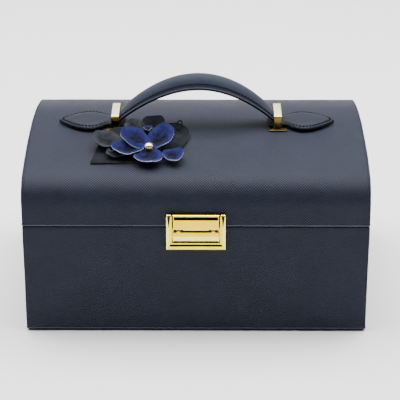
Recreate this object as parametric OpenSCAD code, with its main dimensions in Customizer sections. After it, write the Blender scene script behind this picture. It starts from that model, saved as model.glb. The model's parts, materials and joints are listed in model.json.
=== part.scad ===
// Leather jewellery case with a domed lid, a lifting tray, a flip-down clasp and a carrying handle.
// Frame: origin at the middle of the base, +Z up, +X to the right, the clasp side faces -Y.

/* [Case] */
// Width of the case over the leather, along X
case_w = 280; // [270:1:300]
// Height of the lower case, from the table to its rim
seam_z = 95; // [93:1:97]
// Thickness of the outer leather
leather_t = 1.2; // [1:0.1:1.4]
// Thickness of the wall boards
board_t = 4.5; // [4:0.1:4.5]

/* [Lid] */
// Height of the top of the dome above the table
crest_z = 144.6; // [144:0.2:146]
// Radius of the dome's front and rear shoulders
shoulder_r = 22.5; // [21:0.5:24]
// Slope of the dome where a shoulder meets the crown, in degrees
shoulder_slope = 14.7; // [14:0.1:16]

/* [Hardware] */
// Width of the clasp over its frame
clasp_w = 48; // [46:1:50]
// Distance of each handle loop from the middle
loop_x = 68; // [66:1:70]
// Distance of each hinge from the middle
hinge_x = 85; // [70:1:100]

/* [Lift linkage] */
// Distance between the two pivots of each lift arm
arm_l = 60; // [58:1:61]
// Angle of the lift arms below the horizontal when the lid is shut, in degrees
arm_start = 18; // [17:0.5:18.5]

/* [Hidden] */
smooth = 64;
case_d = 200;
half_w = case_w / 2;
half_d = case_d / 2;
gap = 0.3;
joint_gap = 0.05;

// Heights of the stack of base layers.
base_sheet_t = 1.5;
base_inset = 1.6;
base_top = base_sheet_t + board_t;
floor_t = 3;
floor_top = base_top + floor_t;
rim_gap = 0.4;
lid_z = seam_z + rim_gap;
collar_rise = 4;
collar_t = 2.4;
collar_clear = 0.4;

// Inner faces, measured from the middle.
board_out_x = half_w - leather_t;
board_out_y = half_d - leather_t;
board_in_x = board_out_x - board_t;
board_in_y = board_out_y - board_t;
collar_out_x = board_in_x - collar_clear;
collar_out_y = board_in_y - collar_clear;
collar_in_x = collar_out_x - collar_t;
collar_in_y = collar_out_y - collar_t;

// The dome: two shoulder arcs and one crown arc, tangent to each other.
shoulder_run = shoulder_r * (1 - sin(shoulder_slope));
crown_r = (half_d - shoulder_run) / sin(shoulder_slope);
crown_z = crest_z - crown_r;
shoulder_z = crown_z + (crown_r - shoulder_r) * cos(shoulder_slope);
shoulder_y = half_d - shoulder_r;
shoulder_steps = 10;
crown_steps = 16;
lid_lining_t = 2;
lid_inset = leather_t + board_t + lid_lining_t;
lid_in_x = collar_in_x - gap;
lid_lining_z = seam_z + 6;
rail_top = 111;

// Height of the lid's leather above the table at a distance y from the middle, over the crown.
function crown_height(y) = crown_z + sqrt(crown_r * crown_r - y * y);

// Lid hinge.
pin_r = 1;
knuckle_r = 2.1;
hinge_y = half_d + knuckle_r + 0.1;
hinge_z = seam_z + rim_gap / 2;
leaf_w = 30;
leaf_h = 12;
leaf_t = 0.9;
knuckle_n = 5;
run_clear = 0.05;

// Lift linkage: the lid's brackets and the lift arms make a parallelogram.
tilt = 26;
pivot_base = 40;
arm_dy = arm_l * cos(arm_start);
arm_dz = arm_l * sin(arm_start);
rear_pivot = [hinge_y - arm_dy, hinge_z - arm_dz];
arm_anchor = [hinge_y - pivot_base * cos(tilt), hinge_z - pivot_base * sin(tilt)];
front_pivot = [arm_anchor[0] - arm_dy, arm_anchor[1] - arm_dz];
link_t = 1.5;
link_w = 6;
stud_r = 1.5;
bracket_out = lid_in_x;
bracket_in = bracket_out - link_t;
arm_out = bracket_in - gap;
arm_in = arm_out - link_t;

// Tray.
tray_w = 252;
tray_front = -86;
tray_rear = 87.5;
tray_z = 55.5;
tray_h = 36.5;
tray_wall = 3;
tray_floor = 2.5;
pad_t = 1.5;
tray_top = tray_z + tray_h;
tray_in_x = tray_w / 2 - tray_wall;
tray_in_front = tray_front + tray_wall;
tray_in_rear = tray_rear - tray_wall;
tray_in_z = tray_z + tray_floor;
divider_t = 2.5;
ring_zone_x = 84;
tray_split_y = 18;

// Clasp.
clasp_z = 76;
clasp_h = 31;
clasp_arm = 4.6;
clasp_bar = 6.6;
clasp_base_t = 1;
clasp_back = 0.5;
clasp_depth = 4.3;
flap_w = clasp_w - 2 * clasp_arm - 1.4;
flap_hinge_z = 92.4;
flap_edge = 0.7;
flap_t = 1.2;
flap_y = -half_d - 2.2;
clasp_pin_r = 0.5;
knuckle_x = 14;
knuckle_l = 3;
hasp_knuckle_l = 2;
knuckle_r_small = 0.95;
knuckle_notch = 0.1;

// Handle.
loop_w = 6.6;
loop_l = 31;
loop_h = 11.5;
loop_t = 1.4;
plate_l = 36;
plate_w = 15;
plate_t = 1;
end_z = crest_z + plate_t + gap;
tongue_t = 2;
tongue_half = 11;
tongue_reach = 60;
leaf_start = loop_x + 4;
leaf_len = 44;
end_t = 3.4;
leaf_half = 19;
strap_t = 2.4;
strap_z = end_z + tongue_t + gap;
grip_w = 24;
arch_h = 30.3;
arch_half = loop_x - 2;
arch_end = loop_x + 2;
arch_power = 0.85;
pad_h = 8.6;
pad_power = 1.4;

// Flower.
flower = [-38, -56];
bead_r = 3.6;
bead_lift = 11.5;
leaf_sheet_t = 1.4;
flower_lift = leaf_sheet_t + 0.3;
petal_t = 0.7;
petal_step = 0.8;
petal_n = 5;
petal_root = 2.5;

// ---------------------------------------------------------------- helpers

module mirror_x() {
  children();
  mirror([1, 0, 0]) children();
}

// Draws a shape given in the Y-Z plane as a slab from x0 to x1.
module slab_x(x0, x1) {
  translate([x0, 0, 0]) rotate([90, 0, 90]) linear_extrude(height = x1 - x0) children();
}

// A round bar along X from x0 to x1, at y and z.
module bar_x(x0, x1, y, z, r) {
  translate([x0, y, z]) rotate([0, 90, 0]) cylinder(h = x1 - x0, r = r, $fn = smooth);
}

// A round bar along -Y from y0, of length l.
module bar_y(x, y0, z, l, r) {
  translate([x, y0, z]) rotate([90, 0, 0]) cylinder(h = l, r = r, $fn = smooth);
}

// A box given by its lowest and highest corners.
module block(low, high) {
  translate(low) cube(high - low);
}

// The dome's outline moved inwards by inset, closed by a straight line at height z.
function shoulder(inset, side) = [
  for (i = [0:shoulder_steps])
    let (step = side > 0 ? i : shoulder_steps - i)
    let (a = shoulder_slope + (90 - shoulder_slope) * step / shoulder_steps)
      [side * (shoulder_y + (shoulder_r - inset) * sin(a)), shoulder_z + (shoulder_r - inset) * cos(a)]
];
function crown(inset) = [
  for (i = [1:crown_steps - 1])
    let (a = -shoulder_slope + 2 * shoulder_slope * i / crown_steps)
      [(crown_r - inset) * sin(a), crown_z + (crown_r - inset) * cos(a)]
];
module dome(inset, z) {
  polygon(concat(
    [[half_d - inset, z], [-half_d + inset, z]],
    shoulder(inset, -1), crown(inset), shoulder(inset, 1)
  ));
}

// A flat link in the Y-Z plane between two pivots, with eyes of diameter w and a narrower bar.
module link(a, b, w) {
  run = b - a;
  bar = 0.75 * w;
  translate(a) circle(d = w, $fn = smooth);
  translate(b) circle(d = w, $fn = smooth);
  translate(a) rotate(atan2(run[1], run[0])) translate([0, -bar / 2]) square([norm(run), bar]);
}

// ---------------------------------------------------------------- lower case

module base_sheet() {
  x = half_w - base_inset;
  y = half_d - base_inset;
  color([0.03, 0.03, 0.04]) block([-x, -y, 0], [x, y, base_sheet_t]);
}

module base_board() {
  color([0.62, 0.48, 0.33])
    block([-board_out_x, -board_out_y, base_sheet_t], [board_out_x, board_out_y, base_top]);
}

module end_board(side) {
  y = side * (board_out_y - board_t / 2);
  color([0.62, 0.48, 0.33])
    block([-board_out_x, y - board_t / 2, base_top], [board_out_x, y + board_t / 2, seam_z]);
}

module side_board(side) {
  x = side * (board_out_x - board_t / 2);
  color([0.62, 0.48, 0.33]) difference() {
    block([x - board_t / 2, -board_in_y, base_top], [x + board_t / 2, board_in_y, seam_z]);
    bar_x(x - board_t, x + board_t, arm_anchor[0], arm_anchor[1], stud_r + 0.02);
  }
}

module case_cover() {
  color([0.12, 0.14, 0.2]) difference() {
    block([-half_w, -half_d, base_sheet_t], [half_w, half_d, seam_z]);
    block([-board_out_x, -board_out_y, 0], [board_out_x, board_out_y, seam_z + 1]);
  }
}

// Four covered card panels that line the walls and rise into the lid.
module case_lining() {
  top = seam_z + collar_rise;
  color([0.7, 0.68, 0.66]) {
    for (y = [-collar_out_y, collar_in_y])
      block([-collar_out_x, y, base_top], [collar_out_x, y + collar_t, top]);
    mirror_x() difference() {
      block([collar_in_x, -collar_in_y + joint_gap, base_top], [collar_out_x, collar_in_y - joint_gap, top]);
      bar_x(0, half_w, arm_anchor[0], arm_anchor[1], stud_r + 0.02);
    }
  }
}

module floor_pad() {
  color([0.7, 0.68, 0.66])
    block([-collar_in_x, -collar_in_y, base_top], [collar_in_x, collar_in_y, floor_top]);
}

lower_div_top = 50;
lower_split_y = 5;
lower_split_x = 44;

module lower_divider_cross() {
  color([0.7, 0.68, 0.66])
    block([-collar_in_x, lower_split_y, floor_top], [collar_in_x, lower_split_y + divider_t, lower_div_top]);
}

module lower_dividers_long() {
  color([0.7, 0.68, 0.66]) for (side = [-1, 1])
    block(
      [side * lower_split_x - divider_t / 2, -collar_in_y, floor_top],
      [side * lower_split_x + divider_t / 2, lower_split_y, lower_div_top]
    );
}

pillow_w = 60;
pillow_x = 88;
pillow_h = 34;
pillow_y = -42;
pillow_d = 68;

module watch_pillows() {
  color([0.75, 0.73, 0.7]) for (side = [-1, 1])
    translate([side * pillow_x, pillow_y, floor_top + pillow_h / 2 + 0.2])
      rotate([0, 90, 0]) linear_extrude(height = pillow_w, center = true)
        intersection() {
          square([pillow_h, pillow_d], center = true);
          circle(d = pillow_d * 1.03, $fn = smooth);
        }
}

// ---------------------------------------------------------------- clasp

module clasp_frame() {
  y0 = -half_d;
  bevel = 1.3;
  color([0.9, 0.72, 0.35]) difference() {
    union() {
      block([-clasp_w / 2, y0 - clasp_base_t, clasp_z], [clasp_w / 2, y0, seam_z - 0.4]);
      rotate([90, 0, 0]) translate([0, 0, half_d]) linear_extrude(height = clasp_depth) clasp_outline();
    }
    // Bevel along the outer edge of each arm and of the bottom bar.
    mirror_x() translate([clasp_w / 2, y0 - clasp_depth, 0]) rotate([0, 0, 45])
      cube([bevel * sqrt(2), bevel * sqrt(2), 400], center = true);
    translate([0, y0 - clasp_depth, clasp_z]) rotate([45, 0, 0])
      cube([400, bevel * sqrt(2), bevel * sqrt(2)], center = true);
    block([-clasp_w, y0 - clasp_back, seam_z - 0.4], [clasp_w, y0 + 1, seam_z + 50]);
    for (x = [-12, 12]) bar_y(x, y0 + 1, clasp_z + 11, 3, 1);
  }
}

// The U of the clasp's raised border, in the X-Z plane.
module clasp_outline() {
  difference() {
    translate([-clasp_w / 2, clasp_z]) square([clasp_w, clasp_h]);
    translate([-clasp_w / 2 + clasp_arm, clasp_z + clasp_bar]) square([clasp_w - 2 * clasp_arm, clasp_h]);
  }
}

catch_z = 86;

module clasp_catch_bar() {
  y0 = -half_d - clasp_base_t;
  color([0.85, 0.68, 0.33]) block([-8, y0 - 1, catch_z - 0.6], [8, y0, catch_z + 0.6]);
}

module clasp_rivets() {
  color([0.8, 0.64, 0.32]) for (x = [-12, 12]) {
    bar_y(x, -half_d - clasp_base_t, clasp_z + 11, 0.45, 1.8);
    bar_y(x, -half_d, clasp_z + 11, clasp_base_t, 0.98);
  }
}

// Room for a knuckle of the other plate, centred at x.
module knuckle_room(x, length) {
  bar_x(
    x - length / 2 - knuckle_notch, x + length / 2 + knuckle_notch,
    flap_y - flap_t / 2, flap_hinge_z, knuckle_r_small + knuckle_notch
  );
}

module hasp_plate() {
  top = clasp_z + clasp_h - 0.5;
  color([0.93, 0.76, 0.4]) difference() {
    union() {
      difference() {
        block([-flap_w / 2, flap_y - flap_t, flap_hinge_z + flap_edge], [flap_w / 2, flap_y, top]);
        for (x = [-knuckle_x, knuckle_x]) knuckle_room(x, knuckle_l);
      }
      block([-flap_w / 2, flap_y, lid_z + 1], [flap_w / 2, -half_d, top]);
      for (x = [-knuckle_x, knuckle_x], step = [-1, 1]) {
        near = x + step * (knuckle_l / 2 + run_clear);
        far = near + step * hasp_knuckle_l;
        bar_x(min(near, far), max(near, far), flap_y - flap_t / 2, flap_hinge_z, knuckle_r_small);
        block(
          [min(near, far), flap_y - flap_t + 0.1, flap_hinge_z],
          [max(near, far), flap_y - 0.1, flap_hinge_z + flap_edge + 0.5]
        );
      }
    }
    bar_x(-clasp_w, clasp_w, flap_y - flap_t / 2, flap_hinge_z, clasp_pin_r + run_clear);
    // Long groove near the top edge.
    block(
      [-flap_w / 2 + 1.2, flap_y - flap_t - 1, top - 4.4],
      [flap_w / 2 - 1.2, flap_y - flap_t + 0.5, top - 1.4]
    );
    for (x = [-13, 13]) bar_y(x, -half_d + 1, top - 6, 3.2, 1);
  }
}

module hasp_rivets() {
  z = clasp_z + clasp_h - 6.5;
  color([0.8, 0.64, 0.32]) for (x = [-13, 13]) bar_y(x, -half_d, z, 2, 0.98);
}

module clasp_pin() {
  color([0.8, 0.64, 0.32]) for (x = [-1, 1])
    bar_x(x * knuckle_x - 3.4, x * knuckle_x + 3.4, flap_y - flap_t / 2, flap_hinge_z, clasp_pin_r);
}

module clasp_flap() {
  low = clasp_z + clasp_bar + 0.5;
  lip_z = catch_z - 1.1;
  color([0.95, 0.8, 0.45]) difference() {
    union() {
      difference() {
        block([-flap_w / 2, flap_y - flap_t, low], [flap_w / 2, flap_y, flap_hinge_z - flap_edge]);
        for (x = [-knuckle_x, knuckle_x], step = [-1, 1])
          knuckle_room(x + step * (knuckle_l / 2 + run_clear + hasp_knuckle_l / 2), hasp_knuckle_l);
      }
      block([-7, flap_y, lip_z - 0.8], [7, flap_y + 0.7, lip_z]);
      for (x = [-1, 1]) {
        bar_x(
          x * knuckle_x - knuckle_l / 2, x * knuckle_x + knuckle_l / 2,
          flap_y - flap_t / 2, flap_hinge_z, knuckle_r_small
        );
        block(
          [x * knuckle_x - knuckle_l / 2, flap_y - flap_t + 0.1, flap_hinge_z - 1.2],
          [x * knuckle_x + knuckle_l / 2, flap_y - 0.1, flap_hinge_z]
        );
      }
    }
    bar_x(-clasp_w, clasp_w, flap_y - flap_t / 2, flap_hinge_z, clasp_pin_r + run_clear);
  }
}

// ---------------------------------------------------------------- rear hinges

// Knuckles number first, first + 2, ... of one hinge.
module knuckles(first) {
  step = leaf_w / knuckle_n;
  for (i = [first:2:knuckle_n - 1])
    bar_x(-leaf_w / 2 + i * step + 0.1, -leaf_w / 2 + (i + 1) * step - 0.1, hinge_y, hinge_z, knuckle_r);
}

// One hinge leaf on the rear leather; up is 1 for the lid's leaf and -1 for the case's.
module hinge_leaf(up) {
  first = up > 0 ? 1 : 0;
  step = leaf_w / knuckle_n;
  far = hinge_z + up * (leaf_h + knuckle_r);
  near = hinge_z + up * (knuckle_r + 0.3);
  difference() {
    union() {
      block([-leaf_w / 2, half_d, min(near, far)], [leaf_w / 2, half_d + leaf_t, max(near, far)]);
      knuckles(first);
      for (i = [first:2:knuckle_n - 1])
        block(
          [-leaf_w / 2 + i * step + 0.1, half_d + 0.05, min(hinge_z, near)],
          [-leaf_w / 2 + (i + 1) * step - 0.1, half_d + leaf_t, max(hinge_z, near)]
        );
    }
    bar_x(-leaf_w, leaf_w, hinge_y, hinge_z, pin_r + run_clear);
    for (x = [-10, 10]) bar_y(x, half_d + 2, hinge_z + up * 8.5, 4, 1.1);
  }
}

module hinge_leaves(up) {
  color([0.9, 0.72, 0.35]) for (x = [-hinge_x, hinge_x]) translate([x, 0, 0]) hinge_leaf(up);
}

module hinge_pins() {
  color([0.85, 0.68, 0.33]) for (x = [-hinge_x, hinge_x])
    bar_x(x - leaf_w / 2, x + leaf_w / 2, hinge_y, hinge_z, pin_r);
}

module hinge_screws(up) {
  color([0.85, 0.68, 0.33]) for (x = [-hinge_x, hinge_x], dx = [-10, 10]) {
    bar_y(x + dx, half_d + leaf_t + 0.6, hinge_z + up * 8.5, 0.6, 2);
    bar_y(x + dx, half_d + leaf_t, hinge_z + up * 8.5, leaf_t, 1.05);
  }
}

// ---------------------------------------------------------------- lift linkage

module arm_pins() {
  color([0.85, 0.68, 0.33]) mirror_x() {
    bar_x(arm_in - gap, board_out_x, arm_anchor[0], arm_anchor[1], stud_r);
    bar_x(arm_in - gap - 0.8, arm_in - gap, arm_anchor[0], arm_anchor[1], 3);
    bar_x(arm_out + gap, collar_in_x, arm_anchor[0], arm_anchor[1], 2.5);
  }
}

module lift_arm(side) {
  color([0.9, 0.72, 0.35]) mirror([side < 0 ? 1 : 0, 0, 0]) slab_x(arm_in, arm_out) difference() {
    link(arm_anchor, front_pivot, link_w);
    translate(arm_anchor) circle(r = stud_r + run_clear, $fn = smooth);
    translate(front_pivot) circle(r = stud_r + 0.1, $fn = smooth);
  }
}

bracket_a = [50, 108];
bracket_b = [70, 108];

module lift_bracket(side) {
  color([0.9, 0.72, 0.35]) mirror([side < 0 ? 1 : 0, 0, 0]) slab_x(bracket_in, bracket_out) difference() {
    union() {
      link(rear_pivot, bracket_a, 7);
      link(bracket_a, bracket_b, 9);
    }
    translate(rear_pivot) circle(r = stud_r + run_clear, $fn = smooth);
    for (p = [bracket_a, bracket_b]) translate(p) circle(r = 1.2, $fn = smooth);
  }
}

module bracket_rivets() {
  color([0.85, 0.68, 0.33]) mirror_x() for (p = [bracket_a, bracket_b]) {
    bar_x(bracket_in - 0.9, bracket_in, p[0], p[1], 2.4);
    bar_x(bracket_in, bracket_out, p[0], p[1], 1.15);
  }
}

// ---------------------------------------------------------------- lid

module lid_rail(side) {
  y = side * (board_out_y - board_t / 2);
  color([0.62, 0.48, 0.33])
    block([-board_in_x, y - board_t / 2, lid_z], [board_in_x, y + board_t / 2, rail_top]);
}

module lid_top_panel() {
  color([0.62, 0.48, 0.33]) slab_x(-board_in_x, board_in_x) difference() {
    dome(leather_t, rail_top);
    dome(leather_t + board_t, rail_top - 1);
  }
}

module lid_cheek(side) {
  x = side * (board_out_x - board_t / 2);
  color([0.62, 0.48, 0.33]) slab_x(x - board_t / 2, x + board_t / 2) dome(leather_t, lid_z);
}

module lid_cover() {
  color([0.12, 0.14, 0.2]) difference() {
    slab_x(-half_w, half_w) dome(0, lid_z);
    slab_x(-board_out_x, board_out_x) dome(leather_t, lid_z - 1);
  }
}

module lid_lining() {
  color([0.7, 0.68, 0.66]) difference() {
    slab_x(-board_in_x, board_in_x) dome(leather_t + board_t, lid_lining_z);
    slab_x(-lid_in_x, lid_in_x) dome(lid_inset, lid_lining_z - 1);
  }
}

mirror_x_half = 104;
mirror_y_half = 60;
mirror_rim = 7;
mirror_top = crown_z + sqrt(pow(crown_r - lid_inset, 2) - pow(mirror_y_half, 2)) - 0.15;
mirror_frame_t = 4;

module mirror_frame() {
  color([0.7, 0.68, 0.66]) difference() {
    block(
      [-mirror_x_half, -mirror_y_half, mirror_top - mirror_frame_t],
      [mirror_x_half, mirror_y_half, mirror_top]
    );
    block(
      [-mirror_x_half + mirror_rim, -mirror_y_half + mirror_rim, mirror_top - mirror_frame_t - 1],
      [mirror_x_half - mirror_rim, mirror_y_half - mirror_rim, mirror_top - mirror_frame_t + 2]
    );
  }
}

module mirror_glass() {
  color([0.85, 0.9, 0.92]) block(
    [-mirror_x_half + mirror_rim, -mirror_y_half + mirror_rim, mirror_top - mirror_frame_t],
    [mirror_x_half - mirror_rim, mirror_y_half - mirror_rim, mirror_top - mirror_frame_t + 2]
  );
}

// ---------------------------------------------------------------- handle

// Plates under the loops, shaped to the dome below.
module loop_plates() {
  color([0.92, 0.75, 0.4]) mirror_x() difference() {
    translate([loop_x - plate_w / 2, -plate_l / 2, crest_z - 0.6]) cube([plate_w, plate_l, plate_t + 0.6]);
    slab_x(-half_w, half_w) dome(0, lid_z);
    for (y = [-8, 8]) translate([loop_x + 5, y, crest_z - 2]) cylinder(h = 6, r = 1.1, $fn = smooth);
  }
}

module handle_loops() {
  color([0.96, 0.82, 0.48]) mirror_x() translate([loop_x - loop_w / 2, 0, crest_z + plate_t]) difference() {
    translate([0, -loop_l / 2, 0]) cube([loop_w, loop_l, loop_h]);
    translate([-1, -loop_l / 2 + loop_t, -1]) cube([loop_w + 2, loop_l - 2 * loop_t, loop_h - loop_t + 1]);
  }
}

module loop_screws() {
  low = crown_height(8);
  color([0.85, 0.68, 0.33]) mirror_x() for (y = [-8, 8])
    translate([loop_x + 5, y, low]) cylinder(h = crest_z + plate_t - low, r = 1.05, $fn = smooth);
}

// Rise of the handle's arch over its ends, at a distance x from the middle.
function rise(x, power) = pow(cos(90 * min(1, abs(x) / arch_half)), power);

arch_steps = 40;
function arch_points(pad) = [
  for (i = [0:arch_steps])
    let (x = -arch_half + 2 * arch_half * i / arch_steps)
      [x, strap_z + arch_h * rise(x, arch_power) + (pad < 0 ? 0 : strap_t + pad * rise(x, pad_power))]
];
function reversed(list) = [for (i = [len(list) - 1:-1:0]) list[i]];

module handle_strap() {
  color([0.1, 0.11, 0.15]) rotate([90, 0, 0]) linear_extrude(height = grip_w, center = true)
    polygon(concat(
      [[-arch_end, strap_z]], arch_points(-1), [[arch_end, strap_z], [arch_end, strap_z + strap_t]],
      reversed(arch_points(0)), [[-arch_end, strap_z + strap_t]]
    ));
}

// Filler of the grip, thickest at the middle.
module handle_padding() {
  inner = [for (i = [3:arch_steps - 3]) arch_points(0)[i]];
  outer = [for (i = [4:arch_steps - 4]) arch_points(pad_h)[i]];
  color([0.12, 0.14, 0.2]) rotate([90, 0, 0]) linear_extrude(height = grip_w - 6, center = true)
    polygon(concat(inner, reversed(outer)));
}

// Half width of the leaf-shaped strap end at a fraction t of its length.
function leaf_side(t) =
  max(0.5, tongue_half * pow(1 - t, 1.5) + leaf_half * sin(180 * pow(t, 0.8)) * (1 - 0.2 * t));
leaf_steps = 14;

module strap_end(side) {
  edge = [for (i = [0:leaf_steps]) [leaf_start + leaf_len * i / leaf_steps, leaf_side(i / leaf_steps)]];
  color([0.1, 0.11, 0.15]) mirror([side < 0 ? 1 : 0, 0, 0]) translate([0, 0, end_z]) {
    linear_extrude(height = end_t) polygon(concat(edge, reversed([for (p = edge) [p[0], -p[1]]])));
    translate([tongue_reach, -tongue_half, 0]) cube([leaf_start - tongue_reach, 2 * tongue_half, tongue_t]);
  }
}

// ---------------------------------------------------------------- flower

module on_lid(at, lift) {
  translate([at[0], at[1], crown_height(at[1]) + lift]) rotate([asin(-at[1] / crown_r), 0, 0]) children();
}

module petal(length, thick) {
  translate([length / 2, 0, 0]) cylinder(h = thick, r = length / 2, $fn = smooth);
}

module flower_leaf() {
  color([0.05, 0.05, 0.06]) intersection() {
    slab_x(-half_w, 0) difference() {
      dome(-leaf_sheet_t, lid_z);
      dome(0, lid_z - 1);
    }
    translate([0, 0, crest_z - 40]) linear_extrude(height = 60)
      polygon([[-86, -69], [-29, -61], [-14, -50], [-7, -30], [-9, -15], [-54, -16], [-58, -21], [-78, -22]]);
  }
}

// Round petals around the flower's middle, each lying a little higher than the one before.
module petal_ring(length, turn, low) {
  for (i = [0:petal_n - 1])
    rotate([0, 0, turn + i * 360 / petal_n]) translate([petal_root, 0, low + i * petal_step])
      petal(length, petal_t);
}

module flower_black_petals() {
  color([0.05, 0.05, 0.06]) on_lid(flower, flower_lift) petal_ring(25, 20, 0);
}

module flower_blue_petals() {
  color([0.08, 0.12, 0.42]) on_lid(flower, flower_lift) petal_ring(18, 54, petal_n * petal_step);
}

module flower_bead() {
  color([0.95, 0.82, 0.5]) on_lid(flower, flower_lift) translate([0, 0, bead_lift]) difference() {
    sphere(r = bead_r, $fn = smooth);
    translate([0, 0, -bead_r - 1]) cylinder(h = bead_r + 2, r = 0.85, $fn = smooth);
  }
}

module flower_pin() {
  foot = leaf_sheet_t + 0.05 - flower_lift;
  color([0.85, 0.68, 0.33])
    on_lid(flower, flower_lift) translate([0, 0, foot]) cylinder(h = bead_lift - foot, r = 0.8, $fn = smooth);
}

// ---------------------------------------------------------------- tray

module tray_board() {
  color([0.62, 0.48, 0.33]) block([-tray_w / 2, tray_front, tray_z], [tray_w / 2, tray_rear, tray_in_z]);
}

module tray_walls() {
  color([0.7, 0.68, 0.66]) {
    for (y = [tray_front, tray_in_rear])
      block([-tray_w / 2, y, tray_in_z], [tray_w / 2, y + tray_wall, tray_top]);
    mirror_x() block(
      [tray_in_x, tray_in_front + joint_gap, tray_in_z],
      [tray_w / 2, tray_in_rear - joint_gap, tray_top]
    );
  }
}

module tray_floor_pad() {
  color([0.75, 0.73, 0.7]) block(
    [-tray_in_x, tray_in_front, tray_in_z],
    [tray_in_x, tray_in_rear, tray_in_z + pad_t]
  );
}

module tray_divider_long() {
  color([0.7, 0.68, 0.66]) block(
    [-tray_in_x, tray_split_y, tray_in_z + pad_t],
    [tray_in_x, tray_split_y + divider_t, tray_top - 2]
  );
}

module tray_dividers_cross() {
  color([0.7, 0.68, 0.66]) {
    for (x = [-ring_zone_x / 2, ring_zone_x / 2]) block(
      [x - divider_t / 2, tray_split_y + divider_t, tray_in_z + pad_t],
      [x + divider_t / 2, tray_in_rear, tray_top - 2]
    );
    for (x = [-ring_zone_x, ring_zone_x]) block(
      [x - divider_t / 2, tray_in_front, tray_in_z + pad_t],
      [x + divider_t / 2, tray_split_y, tray_top - 2]
    );
  }
}

roll_n = 7;
roll_pitch = (tray_split_y - tray_in_front) / roll_n;
roll_gap = 1.6;
roll_h = 22;

module ring_rolls() {
  w = ring_zone_x - divider_t / 2 - 1;
  z0 = tray_in_z + pad_t + 1;
  r = (roll_pitch - roll_gap) / 2;
  color([0.78, 0.76, 0.73]) for (i = [0:roll_n - 1])
    slab_x(-w, w) translate([tray_in_front + roll_pitch * (i + 0.5), z0]) {
      translate([-r, 0]) square([2 * r, roll_h - r]);
      translate([0, roll_h - r]) circle(r = r, $fn = smooth);
    }
}

module ring_roll_sheet() {
  w = ring_zone_x - divider_t / 2 - 0.5;
  color([0.5, 0.48, 0.46]) block(
    [-w, tray_in_front + 0.2, tray_in_z + pad_t],
    [w, tray_split_y - 0.2, tray_in_z + pad_t + 1]
  );
}

module tray_tab() {
  color([0.12, 0.14, 0.2]) block([-9, tray_front - 1, tray_top - 12], [9, tray_front, tray_top + 4]);
}

module tray_studs() {
  color([0.85, 0.68, 0.33]) mirror_x() {
    bar_x(tray_w / 2, arm_in - gap, front_pivot[0], front_pivot[1], 2.6);
    bar_x(arm_in - gap, arm_out + 0.1, front_pivot[0], front_pivot[1], stud_r);
    bar_x(tray_w / 2, bracket_in - gap, rear_pivot[0], rear_pivot[1], 2);
    bar_x(bracket_in - gap, bracket_out, rear_pivot[0], rear_pivot[1], stud_r);
  }
}

// ---------------------------------------------------------------- nodes

base_sheet();
base_board();
end_board(-1);  // front_board
end_board(1);  // rear_board
side_board(-1);  // left_board
side_board(1);  // right_board
case_cover();
case_lining();
floor_pad();
lower_divider_cross();
lower_dividers_long();
watch_pillows();
clasp_frame();
clasp_catch_bar();
clasp_rivets();
hinge_leaves(-1);  // hinge_leaves_lower
hinge_pins();
hinge_screws(-1);  // hinge_screws_lower
arm_pins();
lid_rail(-1);  // lid_front_rail
lid_rail(1);  // lid_rear_rail
lid_top_panel();
lid_cheek(-1);  // lid_left_cheek
lid_cheek(1);  // lid_right_cheek
lid_cover();
lid_lining();
mirror_frame();
mirror_glass();
hinge_leaves(1);  // hinge_leaves_upper
hinge_screws(1);  // hinge_screws_upper
lift_bracket(-1);  // lift_bracket_left
lift_bracket(1);  // lift_bracket_right
bracket_rivets();
hasp_plate();
hasp_rivets();
clasp_pin();
loop_plates();
handle_loops();
loop_screws();
flower_leaf();
flower_black_petals();
flower_blue_petals();
flower_bead();
flower_pin();
clasp_flap();
handle_strap();
handle_padding();
strap_end(-1);  // strap_end_left
strap_end(1);  // strap_end_right
lift_arm(-1);  // lift_arm_left
lift_arm(1);  // lift_arm_right
tray_board();
tray_walls();
tray_floor_pad();
tray_divider_long();
tray_dividers_cross();
ring_rolls();
ring_roll_sheet();
tray_tab();
tray_studs();
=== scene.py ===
"""Looks of a navy leather jewellery case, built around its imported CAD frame."""
import json
from math import atan2, copysign, cos, pi, radians, sin, sqrt

import bmesh
import bpy
from mathutils import Matrix, Vector, noise


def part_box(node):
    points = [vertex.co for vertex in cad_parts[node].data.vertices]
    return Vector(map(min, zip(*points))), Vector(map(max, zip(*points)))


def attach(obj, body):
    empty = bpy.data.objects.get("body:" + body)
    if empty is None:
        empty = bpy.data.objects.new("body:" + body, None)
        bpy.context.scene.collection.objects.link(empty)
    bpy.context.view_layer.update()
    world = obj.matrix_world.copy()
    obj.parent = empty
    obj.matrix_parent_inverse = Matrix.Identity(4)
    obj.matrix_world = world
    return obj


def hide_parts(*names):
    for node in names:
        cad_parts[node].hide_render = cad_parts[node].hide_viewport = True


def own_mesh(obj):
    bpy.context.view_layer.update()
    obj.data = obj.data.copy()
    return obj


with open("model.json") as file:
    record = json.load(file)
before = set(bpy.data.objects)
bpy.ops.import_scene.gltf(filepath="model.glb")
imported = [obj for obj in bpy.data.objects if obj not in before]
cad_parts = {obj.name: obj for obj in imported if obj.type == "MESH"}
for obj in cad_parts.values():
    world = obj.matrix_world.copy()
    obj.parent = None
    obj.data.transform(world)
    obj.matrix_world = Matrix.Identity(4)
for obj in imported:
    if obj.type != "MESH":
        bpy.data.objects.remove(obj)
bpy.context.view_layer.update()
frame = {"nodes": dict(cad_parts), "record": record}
MM = 0.001


def box_mm(node):
    """Lowest and highest corners of a CAD node, in millimetres."""
    low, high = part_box(node)
    return low / MM, high / MM


# --- sizes that repeat the CAD, in millimetres

CASE_LOW, CASE_HIGH = box_mm("case_cover")
LID_LOW, LID_HIGH = box_mm("lid_cover")
HALF_W = CASE_HIGH.x
HALF_D = CASE_HIGH.y
SEAM_Z = CASE_HIGH.z
LID_Z = LID_LOW.z
CREST_Z = LID_HIGH.z
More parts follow.
